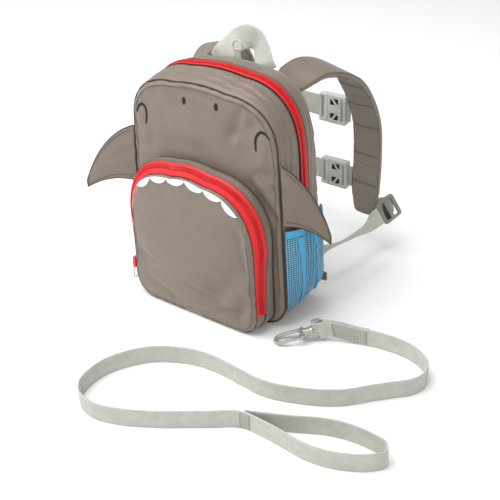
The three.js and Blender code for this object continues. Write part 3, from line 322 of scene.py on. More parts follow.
def arch(foot, head, height, across, down, crown, radius):
    """An arch outline as dense points with the share of its length at each, from the middle
    of the foot to +X, up, over the top and back."""
    square, rounded, shoulder, edge = 0.64, 0.55, height - down, head - across
    near, low = foot - radius * (1 - rounded), radius * (1 - rounded)
    bent, flat = shoulder + down * square, edge + across * square
    right = [[(0, 0), (foot - radius, 0)],
             [(foot - radius, 0), (near, 0), (foot, low), (foot, radius)],
             [(foot, radius), (head, shoulder)],
             [(head, shoulder), (head, bent), (flat, height - crown), (edge, height - crown)],
             [(edge, height - crown), (0, height + crown), (-edge, height - crown)]]
    flip = [[(-x, z) for x, z in reversed(part)] for part in reversed(right[:-1])]
    line = np.vstack([bezier(part) for part in right + flip])
    keep = np.concatenate([[True], np.linalg.norm(np.diff(line, axis=0), axis=1) > 1e-6])
    line = line[keep]
    length = run(line)
    return {"line": line, "share": length / length[-1], "length": length[-1]}


def at(outline, share):
    """Point and outward direction of an outline at shares of its length."""
    def place(share):
        share = np.mod(share, 1)
        return (np.interp(share, outline["share"], outline["line"][:, k]) for k in (0, 1))
    step = 1.5 / outline["length"]
    x, z = place(share)
    tx, tz = (after - before for after, before in zip(place(share + step), place(share - step)))
    size = np.hypot(tx, tz)
    return x, z, tz / size, -tx / size


def share_at(outline, height):
    """The share at which the outline's +X side passes a height."""
    half = (outline["share"] > 0.02) & (outline["share"] < 0.5)
    return float(np.interp(height, outline["line"][half, 1], outline["share"][half]))


bag_outline = arch(bag_half_width, 91.5, bag_height, 60, 57, 3, 30)
back_outline = arch(bag_half_width, 89.5, back_height, 56, 92, 3, 40)
pocket_seam = arch(86, 85, 171, 60, 72, 3, 24)
pocket_rim = arch(pocket_half_width, 80, pocket_height, 60, 72, 3, 24)
print("outline lengths mm:", [round(o["length"]) for o in (bag_outline, back_outline, pocket_rim)])

# %% [markdown]
# ## How cloth sags and creases
# A stuffed bag's panels stand out in the middle and crease where the cloth is slack. A crease is
# a valley along a line with a low ridge beside it. Adding a few of them gives folds in
# the same places as in the photograph, and small puckers along a seam come from a sine wave.

# %% Swell, creases and puckers
def crease(x, z, start, end, wide, deep, ridge=0.5):
    """Height of one crease: a Gaussian valley about the line from start to end, with a ridge
    of a given share on one side, fading towards both ends."""
    start, end = np.asarray(start, float), np.asarray(end, float)
    length = np.linalg.norm(end - start)
    t = ((x - start[0]) * (end - start)[0] + (z - start[1]) * (end - start)[1]) / length**2
    offset = ((z - start[1]) * (end - start)[0] - (x - start[0]) * (end - start)[1]) / length
    fade = np.exp(-np.maximum(0, np.abs(t - 0.5) - 0.3) ** 2 / 0.02)
    valley, bank = (np.exp(-(((offset - away * wide) / wide) ** 2)) for away in (0, 1.7))
    return fade * deep * (ridge * bank - valley)


def swell(x, z, half_width, height, crown, dents):
    """How far a crowned panel stands out: a product of two parabolas to the power 0.7, less
    its soft dents, which are Gaussian hollows."""
    a, b = x / half_width, z / height
    body = np.maximum(0, 1 - a**2) * np.maximum(0, 1 - (2 * b - 1) ** 2)
    dent = sum(d * np.exp(-(((a - ca) / wa) ** 2 + ((b - cb) / wb) ** 2))
               for ca, cb, wa, wb, d in dents)
    return np.maximum(0, crown * body**0.7 - dent * np.minimum(1, 4 * body))


# Each dent is a place and two widths, as shares of half the width and of the height, and a depth.
front_dents = [(0.52, 0.83, 0.16, 0.09, 3.2), (-0.2, 0.7, 0.5, 0.06, 1.2), (0.9, 0.55, 0.12, 0.2, 1.5)]
pocket_dents = [(-0.7, 0.3, 0.3, 0.1, 1.5), (0.55, 0.28, 0.3, 0.12, 1.8)]


def front_face(x, z):
    """Depth of the front panel's outer face."""
    return front_y - swell(x, z, bag_half_width, bag_height, 7, front_dents)


def pocket_face(x, z):
    """Depth of the pocket's outer face."""
    return pocket_face_y - swell(x, z, pocket_half_width, pocket_height, 6, pocket_dents)


def bag_wall(share, y, out):
    """Outer wall of the bag: between the front and back outlines, and out from them by a
    bulge that is a parabola in depth and nil at the foot."""
    front, back = at(bag_outline, share), at(back_outline, share)
    x, z, ox, oz = (mix(f, b, y / bag_depth + 0.5) for f, b in zip(front, back))
    far = 5 * (1 - (2 * y / bag_depth) ** 2) * smooth(z / 60) + out
    return np.stack([x + ox * far, y + 0 * x, z + oz * far], -1)


def pocket_wall(share, deep, out):
    """Outer wall of the pocket, from its seam on the bag, deep 0, to its own rim, deep 1."""
    seam, rim = at(pocket_seam, share), at(pocket_rim, share)
    belly = 2 * smooth(seam[1] / 48) + 5 * smooth((seam[1] - 48) / 72)
    far = 4 * deep * (1 - deep) * belly + out
    x, z = (mix(seam[k], rim[k], deep) + mix(seam[k + 2], rim[k + 2], deep) * far for k in (0, 1))
    return np.stack([x, mix(front_face(x, z) - 0.8, pocket_face_y + 2.3, deep), z], -1)


def outward(points):
    """Direction away from the bag's middle, for turning faces out."""
    return points - np.array([0, 0, 120.0])


print("front panel stands out to y =", round(float(front_face(np.array(0.0), np.array(126.0))), 1))

# %% [markdown]
# ## Shader groups
# Every cloth here shows a weave close up and soft mottling from afar. Both are node groups that
# read distances on the piece's own map, so one group serves all cloths with its own thread
# count. They give heights and masks only, and each material keeps its own shader.

# %% Node helpers
def srgb(red, green, blue):
    """A colour as seen on screen, 0 to 255, in the linear values that shaders use."""
    c = np.array([red, green, blue]) / 255
    return (*np.where(c <= 0.04045, c / 12.92, ((c + 0.055) / 1.055) ** 2.4).tolist(), 1)


def new_group(name, vector, outputs, **numbers):
    """An empty shader group with a vector input, number inputs and number outputs. Gives its
    tree, its two end nodes and its inputs by name."""
    tree = bpy.data.node_groups.new(name, "ShaderNodeTree")
    tree.interface.new_socket(vector, in_out="INPUT", socket_type="NodeSocketVector")
    for label, value in numbers.items():
        socket = tree.interface.new_socket(label, in_out="INPUT", socket_type="NodeSocketFloat")
        socket.default_value = value
    for label in outputs:
        tree.interface.new_socket(label, in_out="OUTPUT", socket_type="NodeSocketFloat")
    into, out = tree.nodes.new("NodeGroupInput"), tree.nodes.new("NodeGroupOutput")
    return tree, into.outputs, out.inputs


def maths(tree, operation, *values, clamp=False):
    """One Math node; each value is a socket or a number."""
    node = tree.nodes.new("ShaderNodeMath")
    node.operation, node.use_clamp = operation, clamp
    for socket, value in zip(node.inputs, values):
        if isinstance(value, (int, float)):
            socket.default_value = value
        else:
            tree.links.new(value, socket)
    return node.outputs[0]


def noise(tree, vector, scale, detail=2.0, rough=0.5):
    """One Noise node's value."""
    node = tree.nodes.new("ShaderNodeTexNoise")
    node.inputs["Detail"].default_value, node.inputs["Roughness"].default_value = detail, rough
    if isinstance(scale, (int, float)):
        node.inputs["Scale"].default_value = scale
    else:
        tree.links.new(scale, node.inputs["Scale"])
    tree.links.new(vector, node.inputs["Vector"])
    return node.outputs["Fac"]


def waves(tree, value, per_metre):
    """A sine wave from -1 to 1 with a given number of waves in a metre."""
    turns = maths(tree, "MULTIPLY", value, per_metre)
    return maths(tree, "SINE", maths(tree, "MULTIPLY", turns, 2 * math.pi))


def parts(tree, vector):
    """The first two numbers of a vector."""
    split = tree.nodes.new("ShaderNodeSeparateXYZ")
    tree.links.new(vector, split.inputs[0])
    return split.outputs[0], split.outputs[1]


print("node helpers ready")

# %% Weave, rib, crumple and net groups
tree, into, out = new_group("plain_weave", "Map", ["Height", "Shade"], Threads=900.0)
warp, weft = (waves(tree, part, into["Threads"]) for part in parts(tree, into["Map"]))
checker = maths(tree, "MULTIPLY", warp, weft)
slub = noise(tree, into["Map"], 700.0, 1.0)
tree.links.new(maths(tree, "MULTIPLY_ADD", checker, 0.5, 0.5), out["Height"])
tree.links.new(maths(tree, "MULTIPLY_ADD", maths(tree, "ADD", checker, slub), 0.5, 0.5), out["Shade"])

tree, into, out = new_group("webbing_ribs", "Map", ["Height", "Shade"], Ribs=420.0, Picks=640.0)
lengthwise_place, crosswise_place = parts(tree, into["Map"])
ribs = maths(tree, "ABSOLUTE", waves(tree, crosswise_place, into["Ribs"]))
slanted = maths(tree, "ADD", lengthwise_place, maths(tree, "MULTIPLY", ribs, 0.0009))
picks = waves(tree, slanted, into["Picks"])
both = maths(tree, "ADD", maths(tree, "MULTIPLY", ribs, 0.7), maths(tree, "MULTIPLY", picks, 0.3))
tree.links.new(both, out["Height"])
tree.links.new(maths(tree, "MULTIPLY_ADD", both, 0.6, 0.5), out["Shade"])

tree, into, out = new_group("crumple", "Place", ["Height", "Mottle"], Scale=22.0)
fine_scale = maths(tree, "MULTIPLY", into["Scale"], 2.7)
tree.links.new(noise(tree, into["Place"], into["Scale"], 3.0, 0.5), out["Height"])
tree.links.new(noise(tree, into["Place"], fine_scale, 4.0, 0.6), out["Mottle"])

tree, into, out = new_group("knitted_net", "Map", ["Height", "Hole"], Holes=520.0)
along, across = parts(tree, into["Map"])
first, second = (waves(tree, maths(tree, way, along, across), into["Holes"]) for way in ("ADD", "SUBTRACT"))
level = maths(tree, "SUBTRACT", maths(tree, "MULTIPLY", first, second), -0.1)
hole = maths(tree, "MULTIPLY", level, 2.2, clamp=True)
tree.links.new(hole, out["Hole"])
tree.links.new(maths(tree, "SUBTRACT", 1.0, hole), out["Height"])
print("groups:", [g.name for g in bpy.data.node_groups])

# %% [markdown]
# ## Materials
# The body is smooth grey-brown polyester with a soft shine, the zippers are red, the webbing is
# light grey and ribbed, and the side pockets are blue net. Each cloth material joins the same
# groups: a base colour, darker where its threads dip, with both weave and crumple in its bump.

# %% Cloth and plastic materials
def shaded(name, rough, sheen=0.0, metallic=0.0, coat=0.0):
    """A new material with its shader and the sockets that every finish here uses."""
    material = bpy.data.materials.new(name)
    material.use_nodes = True
    shader = material.node_tree.nodes["Principled BSDF"]
    shader.inputs["Roughness"].default_value = rough
    shader.inputs["Sheen Weight"].default_value = sheen
    shader.inputs["Sheen Roughness"].default_value = 0.4
    shader.inputs["Metallic"].default_value = metallic
    shader.inputs["Coat Weight"].default_value = coat
    return material, material.node_tree, shader


def group_node(tree, name, vector, **values):
    """A shader group placed in a material, fed with a vector and its own values."""
    node = tree.nodes.new("ShaderNodeGroup")
    node.node_tree = bpy.data.node_groups[name]
    tree.links.new(vector, node.inputs[0])
    for label, value in values.items():
        node.inputs[label].default_value = value
    return node


def two_tone(tree, mask, low, high):
    """A colour mixed between two by a mask. The first may be a socket."""
    node = tree.nodes.new("ShaderNodeMix")
    node.data_type = "RGBA"
    tree.links.new(mask, node.inputs["Factor"])
    if isinstance(low, tuple):
        node.inputs["A"].default_value = low
    else:
        tree.links.new(low, node.inputs["A"])
    node.inputs["B"].default_value = high
    return node.outputs["Result"]


def bumped(tree, shader, layers):
    """Bump nodes in a row, one for each height with its strength and its depth in metres."""
    normal = None
    for height, strength, depth in layers:
        node = tree.nodes.new("ShaderNodeBump")
        node.inputs["Strength"].default_value, node.inputs["Distance"].default_value = strength, depth
        tree.links.new(height, node.inputs["Height"])
        if normal is not None:
            tree.links.new(normal, node.inputs["Normal"])
        normal = node.outputs["Normal"]
    tree.links.new(normal, shader.inputs["Normal"])


def coloured(tree, shader, low, high, colour_mask, gloss_mask, spread, smoothest):
    """Base colour between two tones by one mask, and roughness raised from its smoothest by another."""
    tree.links.new(two_tone(tree, colour_mask, low, high), shader.inputs["Base Color"])
    gloss = maths(tree, "MULTIPLY_ADD", gloss_mask, spread, smoothest)
    tree.links.new(gloss, shader.inputs["Roughness"])


def cloth(name, low, high, rough=0.6, threads=900.0, sheen=0.15, weave="plain_weave",
          crumple=22.0, fold=0.0012, thread=0.00012):
    """Woven cloth: colour between two tones by weave and mottle, weave and crumple in the bump."""
    material, tree, shader = shaded(name, rough, sheen)
    place = tree.nodes.new("ShaderNodeTexCoord")
    count = {"Threads": threads} if weave == "plain_weave" else {}
    woven = group_node(tree, weave, place.outputs["UV"], **count)
    broad = group_node(tree, "crumple", place.outputs["Object"], Scale=crumple)
    mask = maths(tree, "MULTIPLY_ADD", broad.outputs["Mottle"], 0.7, 0.1)
    shade = maths(tree, "MULTIPLY", woven.outputs["Shade"], 0.25)
    mask = maths(tree, "ADD", mask, shade, clamp=True)
    coloured(tree, shader, low, high, mask, broad.outputs["Mottle"], 0.16, rough - 0.08)
    bumped(tree, shader, [(broad.outputs["Height"], 0.35, fold), (woven.outputs["Height"], 0.5, thread)])
    return material


def thread_cloth(name, low, high, rough=0.7, threads=1500.0):
    """Matt thread, or a dark seam line of painted shade, without sheen."""
    return cloth(name, low, high, rough, threads, 0.0)


body_cloth = cloth("body_cloth", srgb(101, 90, 80), srgb(130, 117, 104), 0.42, sheen=0.12)
seam_thread = thread_cloth("seam_thread", srgb(80, 71, 62), srgb(100, 90, 79))
tether_thread = thread_cloth("tether_thread", srgb(128, 130, 120), srgb(156, 158, 148))
# Dark seam lines: painted shade for the shadow in the grooves of the seams.
painted_seam_shade = thread_cloth("painted_seam_shade", srgb(44, 38, 33), srgb(64, 56, 49), 0.8)
black_thread = thread_cloth("black_face_thread", srgb(6, 6, 6), srgb(20, 19, 18), threads=1300.0)
lining_cloth = cloth("strap_lining", srgb(112, 105, 96), srgb(138, 130, 120), 0.75, 700.0)
webbing_cloth = cloth("grey_webbing", srgb(148, 150, 141), srgb(202, 204, 195), 0.7, weave="webbing_ribs",
                      crumple=40.0, fold=0.0003, thread=0.0005)
red_tape = cloth("red_zipper_tape", srgb(190, 10, 18), srgb(226, 20, 28), 0.5, 1100.0, 0.0,
                 crumple=40.0, fold=0.0004)
white_cloth = cloth("white_tooth_cloth", srgb(226, 226, 224), srgb(248, 248, 246), 0.6, 800.0, fold=0.0004)
binding_cloth = cloth("blue_binding", srgb(48, 142, 190), srgb(72, 168, 212), 0.55, 800.0, 0.05, crumple=60.0)


def moulded(name, low, high, rough, coat=0.0, metallic=0.0, grain=900.0):
    """Moulded or painted finish: slight mottle in colour and gloss, a fine grain in the bump."""
    material, tree, shader = shaded(name, rough, 0.0, metallic, coat)
    place = tree.nodes.new("ShaderNodeTexCoord")
    broad = group_node(tree, "crumple", place.outputs["Object"], Scale=60.0)
    fine_grain = noise(tree, place.outputs["Object"], grain, 2.0)
    mottle = broad.outputs["Mottle"]
    coloured(tree, shader, low, high, mottle, mottle, 0.15, rough - 0.07)
    bumped(tree, shader, [(fine_grain, 0.25, 0.00008)])
    return material


buckle_plastic = moulded("buckle_plastic", srgb(172, 173, 168), srgb(204, 205, 200), 0.38)
lock_plastic = moulded("lock_plastic", srgb(112, 111, 106), srgb(146, 145, 140), 0.35)
# Dark plates for the buckle openings: painted shade for the shadow inside them.
window_painted_shade = moulded("window_painted_shade", srgb(34, 34, 33), srgb(52, 52, 50), 0.6)
hook_plastic = moulded("hook_plastic", srgb(150, 149, 141), srgb(190, 189, 181), 0.3, coat=0.4, metallic=0.5)
red_coil = moulded("red_zipper_coil", srgb(186, 12, 20), srgb(222, 26, 32), 0.35)
red_metal = moulded("red_slider", srgb(200, 24, 32), srgb(228, 40, 44), 0.3, coat=0.3)
wire_metal = moulded("slider_wire", srgb(160, 160, 160), srgb(205, 205, 205), 0.25, metallic=1.0)

net_cloth, tree, shader = shaded("blue_net", 0.6, 0.1)
place = tree.nodes.new("ShaderNodeTexCoord")
net = group_node(tree, "knitted_net", place.outputs["UV"], Holes=200.0)
broad = group_node(tree, "crumple", place.outputs["Object"], Scale=30.0)
threads = two_tone(tree, broad.outputs["Mottle"], srgb(78, 152, 190), srgb(128, 186, 212))
# The holes are painted dark blue: painted shade of the pocket's inside seen through them.
net_colour = two_tone(tree, net.outputs["Hole"], threads, srgb(30, 66, 96))
tree.links.new(net_colour, shader.inputs["Base Color"])
bumped(tree, shader, [(broad.outputs["Height"], 0.4, 0.002), (net.outputs["Height"], 0.7, 0.0005)])


def dressed(piece, material, *replaced, slot=None):
    """Gives a piece its material and the CAD nodes it stands for. Its slot is not used."""
    piece.data.materials.clear()
    piece.data.materials.append(material)
    if replaced:
        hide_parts(*replaced)
    return piece


for piece in (tether, fold):
    dressed(piece, webbing_cloth)
print("materials:", len(bpy.data.materials))

# %% [markdown]
# ## The two faces: front panel and pocket front
# Each face is a disc of cloth worked out in rings from its seam to its middle. Rings suit a
# sewn panel, because the cloth rolls under all along the seam. The panel is then given the
# thickness of its cloth, so that its edge isn't a razor line.

# %% Front panel, pocket front and back panel
def thickened(piece, millimetres):
    """Gives a sheet its thickness, inward from the face it was made on."""
    wall = piece.modifiers.new("thickness", "SOLIDIFY")
    wall.thickness, wall.offset = millimetres * MM, -1
    return piece


def disc(name, outline, height, face, rings, around, puckers, facing):
    """A panel in rings: at each ring the outline shrinks towards its middle. The cloth rolls
    back by a Gaussian at the seam and puckers by a fading sine along it."""
    share = np.arange(around) / around
    inward = (np.arange(rings) / rings)[:, None] ** 1.4
    x0, z0 = at(outline, share)[:2]
    x, z = x0 * (1 - inward), height / 2 + (z0 - height / 2) * (1 - inward)
    gap_in = np.hypot(x0 - x, z0 - z)
    wave = np.sin(share * puckers * 2 * np.pi + 2 * np.sin(share * 40)) * np.exp(-gap_in / 7)
    roll = 2.6 * np.exp(-((gap_in / 2.3) ** 2)) + 0.5 * wave
    middle = (0, float(face(np.array(0.0), np.array(height / 2))), height / 2)
    y = face(x, z) - facing * roll
    return surface(name, np.stack([x, y, z], -1), ring_columns=True, middle=middle,
                   facing=towards(0, facing, 0))


# Each crease is a start, an end, a width and a depth. Some give the height of the ridge beside it.
front_folds = [
    ((54, 244), (34, 200), 5.5, 2.2, 0.5), ((74, 230), (36, 208), 6.5, 1.6),
    ((94, 182), (60, 172), 6.0, 1.8), ((-92, 168), (-58, 178), 6.0, 1.6),
    ((-46, 190), (14, 186), 8.0, 1.2), ((-94, 206), (-80, 176), 6.0, 1.2),
    ((-34, 245), (26, 241), 3.2, 1.3), ((91, 150), (84, 208), 6.0, 1.5),
    ((56, 172), (95, 118), 6.0, 2.6, 0.4), ((72, 178), (97, 140), 5.0, 1.6, 0.4)]
pocket_folds = [
    ((74, 84), (26, 30), 11.0, 2.0, 0.3), ((-66, 30), (-16, 14), 6.0, 1.6, 0.3),
    ((-76, 80), (-62, 36), 9.0, 1.2, 0.2), ((77, 50), (56, 16), 7.5, 2.2, 0.4),
    ((10, 34), (60, 22), 7.0, 1.5, 0.3), ((64, 128), (74, 70), 5.0, 1.6),
    ((-14, 44), (44, 30), 3.4, 1.1, 0.5), ((22, 16), (72, 32), 3.6, 1.5, 0.5),
    ((-78, 60), (-40, 52), 4.0, 0.9, 0.4), ((-10, 8), (30, 14), 3.0, 1.0, 0.4)]


def front_cloth(x, z):
    """Front face less the sum of its creases."""
    return front_face(x, z) - sum(crease(x, z, *fold) for fold in front_folds)


def pocket_cloth(x, z):
    """Pocket face less the sum of its creases, the widest of them across its lower corners."""
    return pocket_face(x, z) - sum(crease(x, z, *fold) for fold in pocket_folds)


def back_cloth(x, z):
    """Back pad: flat, with sewn channels as narrow Gaussian grooves."""
    groove = sum(1.6 * np.exp(-(((x - c) / 2.0) ** 2)) for c in (-34.0, 34.0))
    groove = groove + sum(1.6 * np.exp(-(((z - c) / 2.0) ** 2)) for c in (70.0, 130.0, 190.0))
    return back_y - 0.1 - np.minimum(groove, 1.8)


cloth_thickness, pad_thickness, pull_in = 1.6, 5.5, 0.15
panels = {
    "front_panel": ("front_face", bag_outline, bag_height, front_cloth, 70, 420, 46, -1),
    "pocket_front": ("pocket_face", pocket_rim, pocket_height, pocket_cloth, 56, 360, 36, -1),
    "back_panel": ("back_pad", back_outline, back_height, back_cloth, 90, 360, 30, 1)}
for node, shape in panels.items():
    pad = node == "back_panel"
    panel = thickened(disc(*shape), pad_thickness if pad else cloth_thickness)
    dressed(panel, lining_cloth if pad else body_cloth, node, slot="body_cloth")
    print(panel.name, len(panel.data.polygons), "faces")

# %% [markdown]
# ## Side walls and zippers
# The wall between the panels is bands of cloth cut by the zipper. Each band is the wall function
# over a range of shares and depths, with a little slack added as sums of sines. A zipper is its
# red tape and a chain of small interlocking teeth, one small shape repeated along a line.

# %% Bands of wall
def slack(share, y):
    """Soft unevenness of a cloth wall in millimetres: three sines of unrelated lengths."""
    return (0.4 * np.sin(share * 61 + y * 0.11) + 0.18 * np.sin(share * 143 - y * 0.23)
            + 0.1 * np.sin(share * 289 + y * 0.31))


def stand_out(share, deep, width, uneven):
    """How far a band stands out: its slack, fading to the edges, and a Gaussian dip at both
    edges where it is sewn."""
    sunk = -1.5 * (np.exp(-((width / 0.06) ** 2)) + np.exp(-(((1 - width) / 0.06) ** 2)))
    return uneven * slack(share, deep * 40) * np.sin(np.pi * width) + sunk * min(1, uneven * 2)


def band(name, wall, near, far, shares, rows, columns, lift, uneven):
    """A strip of a wall function between two depths and two shares, given its thickness inward."""
    share = np.linspace(*shares, rows)[:, None]
    share, deep = np.broadcast_arrays(share, np.linspace(near, far, columns)[None, :])
    above_floor = smooth(wall(share, deep, 0 * share)[..., 2] / 40)
    out = lift + stand_out(share, deep, np.linspace(0, 1, columns)[None, :], uneven) * above_floor
    return thickened(surface(name, wall(share, deep, out), facing=outward), cloth_thickness)


def over_and_under(outline, start):
    """Shares over the top and under the foot, parted by a small gap at a starting share."""
    gap = pull_in / outline["length"]
    return (start + gap, 1 - start - gap), (gap - start, start - gap)


start, rim_start = share_at(bag_outline, 118), share_at(pocket_rim, 26)
over, under = over_and_under(bag_outline, start)
rim_over, rim_under = over_and_under(pocket_rim, rim_start)
front_band, back_band, zip_edge = (-34.2, -3.3), (9.3, 30.2), 17 / 30
zip_near = zip_edge + 0.01
for name, node, wall, near, far, shares, rows, columns, uneven in [
        ("wall_front", "gusset_front", bag_wall, *front_band, over, 420, 26, 1.0),
        ("wall_back", "gusset_back", bag_wall, *back_band, over, 420, 18, 1.0),
        ("wall_lower", "gusset_lower", bag_wall, front_band[0], back_band[1], under, 300, 40, 1.0),
        ("main_tape", "main_zipper", bag_wall, -3, 9, over, 420, 12, 0.0),
        ("pocket_rear_band", "pocket_gusset", pocket_wall, 0.0, zip_edge, (0, 1), 420, 20, 0.6),
        ("pocket_foot_band", "pocket_base", pocket_wall, zip_near, 1.0, rim_under, 240, 20, 0.6),
        ("pocket_tape", "pocket_zipper", pocket_wall, zip_near, 1.0, rim_over, 360, 20, 0.0)]:
    tape = uneven == 0
    piece = band(name, wall, near, far, shares, rows, columns, 0.5 if tape else 0.0, uneven)
    dressed(piece, red_tape if tape else body_cloth, node, slot="zipper" if tape else "body_cloth")
print("bands and tapes made")

# %% Zipper teeth
def repeated(name, centres, along, across, up, template, quads):
    """One small shape set at many frames: each corner is centre plus its three shares times
    the frame's directions, all worked out as one array."""
    x, y, z = (template[None, :, k:k + 1] for k in range(3))
    corners = centres[:, None] + x * along[:, None] + y * across[:, None] + z * up[:, None]
    starts = np.arange(len(centres)) * len(template)
    faces = (np.asarray(quads)[None] + starts[:, None, None]).reshape(-1, len(quads[0]))
    mesh = bpy.data.meshes.new(name)
    mesh.from_pydata((corners.reshape(-1, 3) * MM).tolist(), [], faces.tolist())
    mesh.validate()
    return placed(name, mesh, "bag")


def block(length, width, height, taper):
    """Corners and quads of a small block whose top is drawn in by a taper on all sides."""
    x, y = np.array([-1, 1, 1, -1]) * length / 2, np.array([-1, -1, 1, 1]) * width / 2
    levels = [np.stack([x * narrow, y * narrow, 0 * x + height * level], 1)
              for narrow, level in ((1, 0), (1, 0.55), (taper, 1))]
    sides = [[a + b, (a + 1) % 4 + b, (a + 1) % 4 + 4 + b, a + 4 + b] for b in (0, 4) for a in range(4)]
    return np.vstack(levels), sides + [[3, 2, 1, 0], [8, 9, 10, 11]]


def frames_on(wall, deep, shares, lift):
    """Points on a wall with the directions along its outline, across its depth and out."""
    step, tiny = 0.4 / 700, 0.02 if abs(deep) > 1 or deep == 0 else 0.002
    full = np.full_like(shares, deep)
    centre = wall(shares, full, lift)
    along = unit(wall(shares + step, full, lift) - wall(shares - step, full, lift))
    across = unit(wall(shares, full + tiny, lift) - wall(shares, full - tiny, lift))
    up = unit(np.cross(along, across))
    up *= np.sign((up * (wall(shares, full, lift + 1) - centre)).sum(1, keepdims=True))
    return centre, along, across, up


def chain(name, wall, deep, outline, start, inset):
    """Two rows of teeth either side of a zipper's middle, each half a pitch from the other."""
    pitch, width, height = 1.7, 4.4, 1.3
    count = int((1 - 2 * start) * outline["length"] / pitch) * 2
    share = np.linspace(start + inset, 1 - start - inset, count)
    centre, along, across, up = frames_on(wall, deep, share, 0.55)
    centre = centre + across * (np.where(np.arange(count) % 2, 1, -1) * width * 0.22)[:, None]
    template, quads = block(pitch * 0.62, width * 0.62, height, 0.7)
    return dressed(repeated(name, centre, along, across, up, template, quads), red_coil, slot="zipper")


chains = [chain("main_chain", bag_wall, 3.0, bag_outline, start, 0.002),
          chain("pocket_chain", pocket_wall, (zip_near + 1) / 2, pocket_rim, rim_start, 0.003)]
print("zipper teeth faces:", sum(len(piece.data.polygons) for piece in chains))

# %% [markdown]
# ## Topstitching
# A sewn bag shows rows of stitches beside its seams. A row is one small raised block repeated
# every few millimetres along a line, set down on the same functions as the cloth below it. The
# rows run beside both zippers and inside the seams of the front panel and the pocket.

# %% Rows of stitches
def squared(out, slope):
    """Outward directions less their part along a slope, at unit length."""
    return unit(out - slope * (out * slope).sum(1, keepdims=True))


def stitches(name, rows, pitch=2.7, material=seam_thread):
    """Rows of stitches as one piece. Each row is a line and its outward direction: a small
    block at equal steps of the line's length lies along it and stands up outward."""
    frames = []
    for line, out in rows:
        line, out = np.broadcast_arrays(np.asarray(line, float), np.asarray(out, float))
        length = run(line)
        place = np.linspace(pitch / 2, length[-1] - pitch / 2, max(2, int(length[-1] / pitch)))
        fields = (line, np.gradient(line, axis=0), out)
        centre, slope, up = (sampled(place, length, field) for field in fields)
        slope = unit(slope)
        up = squared(up, slope)
        frames.append((centre, slope, np.cross(up, slope), up))
    template, quads = block(pitch * 0.66, 0.75, 0.5, 0.7)
    return dressed(repeated(name, *(np.vstack(part) for part in zip(*frames)), template, quads), material)


def inside_seam(outline, face, inset, shares):
    """Points on a face at an inset from its outline, just proud of the cloth."""
    x, z, ox, oz = at(outline, np.linspace(*shares, 500))
    x, z = x - ox * inset, z - oz * inset
    return np.stack([x, face(x, z) - 0.1, z], -1)


def on_wall(wall, deep, share, out):
    """Points on a wall at one depth and their outward directions."""
    points, outer = (wall(share, 0 * share + deep, out + more) for more in (0, 1))
    return points, outer - points


def along_band(wall, deep, near, far, shares, uneven=1.0):
    """Points on a band of wall at a depth, with the band's own slack and sunk edges."""
    share = np.linspace(*shares, 600)
    return on_wall(wall, deep, share, stand_out(share, deep, (deep - near) / (far - near), uneven))


zip_shares = (start + 0.002, 1 - start - 0.002)
below_teeth = share_at(pocket_rim, 112)
for name, rows in [
        ("front_panel_stitches", [(inside_seam(bag_outline, front_cloth, 5, (0.16, 0.84)), (0, -1, 0))]),
        ("pocket_face_stitches", [(inside_seam(pocket_rim, pocket_cloth, 4.5, ends), (0, -1, 0))
                                  for ends in ((0.02, below_teeth), (1 - below_teeth, 0.98))]),
        ("main_zipper_stitches", [along_band(bag_wall, -6.0, *front_band, zip_shares),
                                  along_band(bag_wall, 11.8, *back_band, zip_shares)]),
        ("pocket_zipper_stitches", [along_band(pocket_wall, 14.6 / 30, 0.0, zip_edge,
                                               (rim_start, 1 - rim_start), 0.6)])]:
    print(name, len(stitches(name, rows).data.polygons) // 10)

# %% Dark seam lines of painted shade
def seam_line(name, line, out, radius, closed=False):
    """A thin dark tube in a seam, painted shade for the shadow in its groove: a ring of eight
    points carried along the line, whose directions are the given outward one and its cross product
    with the line's slope."""
    slope = unit(np.roll(line, -1, 0) - np.roll(line, 1, 0)) if closed else unit(np.gradient(line, axis=0))
    up = squared(out, slope)
    side = np.cross(slope, up)
    turn = np.arange(8) * np.pi / 4
    ring = np.stack([np.cos(turn), np.sin(turn)], 1) * radius
    points = line[:, None] + side[:, None] * ring[None, :, :1] + up[:, None] * ring[None, :, 1:]
    piece = surface(name, points, ring_rows=closed, ring_columns=True, caps=not closed)
    return dressed(piece, painted_seam_shade)


def wall_line(wall, deep, shares, out):
    """Points on a wall at one depth over a range of shares, kept above the floor, with their
    outward directions."""
    share = np.linspace(*shares, 420)
    points, outwards = on_wall(wall, deep, share, 0 * share + out)
    points[:, 2] = np.maximum(points[:, 2], 0.95)
    return points, outwards


# Painted shade: a dark line in the groove of each of these seams.
loop = (0, 1 - 1 / 420)
for name, wall, deep, shares, out, radius in [
        ("seam_front", bag_wall, -35.2, loop, -0.5, 0.8),
        ("seam_pocket_root", pocket_wall, 0.02, (0.03, 0.97), 0.1, 0.75),
        ("seam_pocket_face", pocket_wall, 0.995, loop, -0.4, 0.7),
        ("seam_zip_front", bag_wall, -3.15, zip_shares, 0.0, 0.55),
        ("seam_zip_back", bag_wall, 9.15, zip_shares, 0.0, 0.55),
        ("seam_pocket_zip", pocket_wall, zip_edge + 0.005, loop, 0.0, 0.55)]:
    print(seam_line(name, *wall_line(wall, deep, shares, out), radius, shares is loop).name, "made")

# %% [markdown]
# ## Cloth teeth and the stitched face
# The teeth are white cloth scallops sewn in under the pocket's zipper. The eyes are thin
# black hooks and the nostrils two small ovals, all in black thread. They are shallow ribbons and
# domes laid on the front panel's own surface function, so they follow its swell and creases.

# %% Scallops
def share_at_x(x):
    """The share of the pocket's rim over its top where it passes an x."""
    half = (pocket_rim["share"] > 0.25) & (pocket_rim["share"] < 0.75)
    line, share = pocket_rim["line"][half, 0], pocket_rim["share"][half]
    return float(np.interp(-x, -line, share))


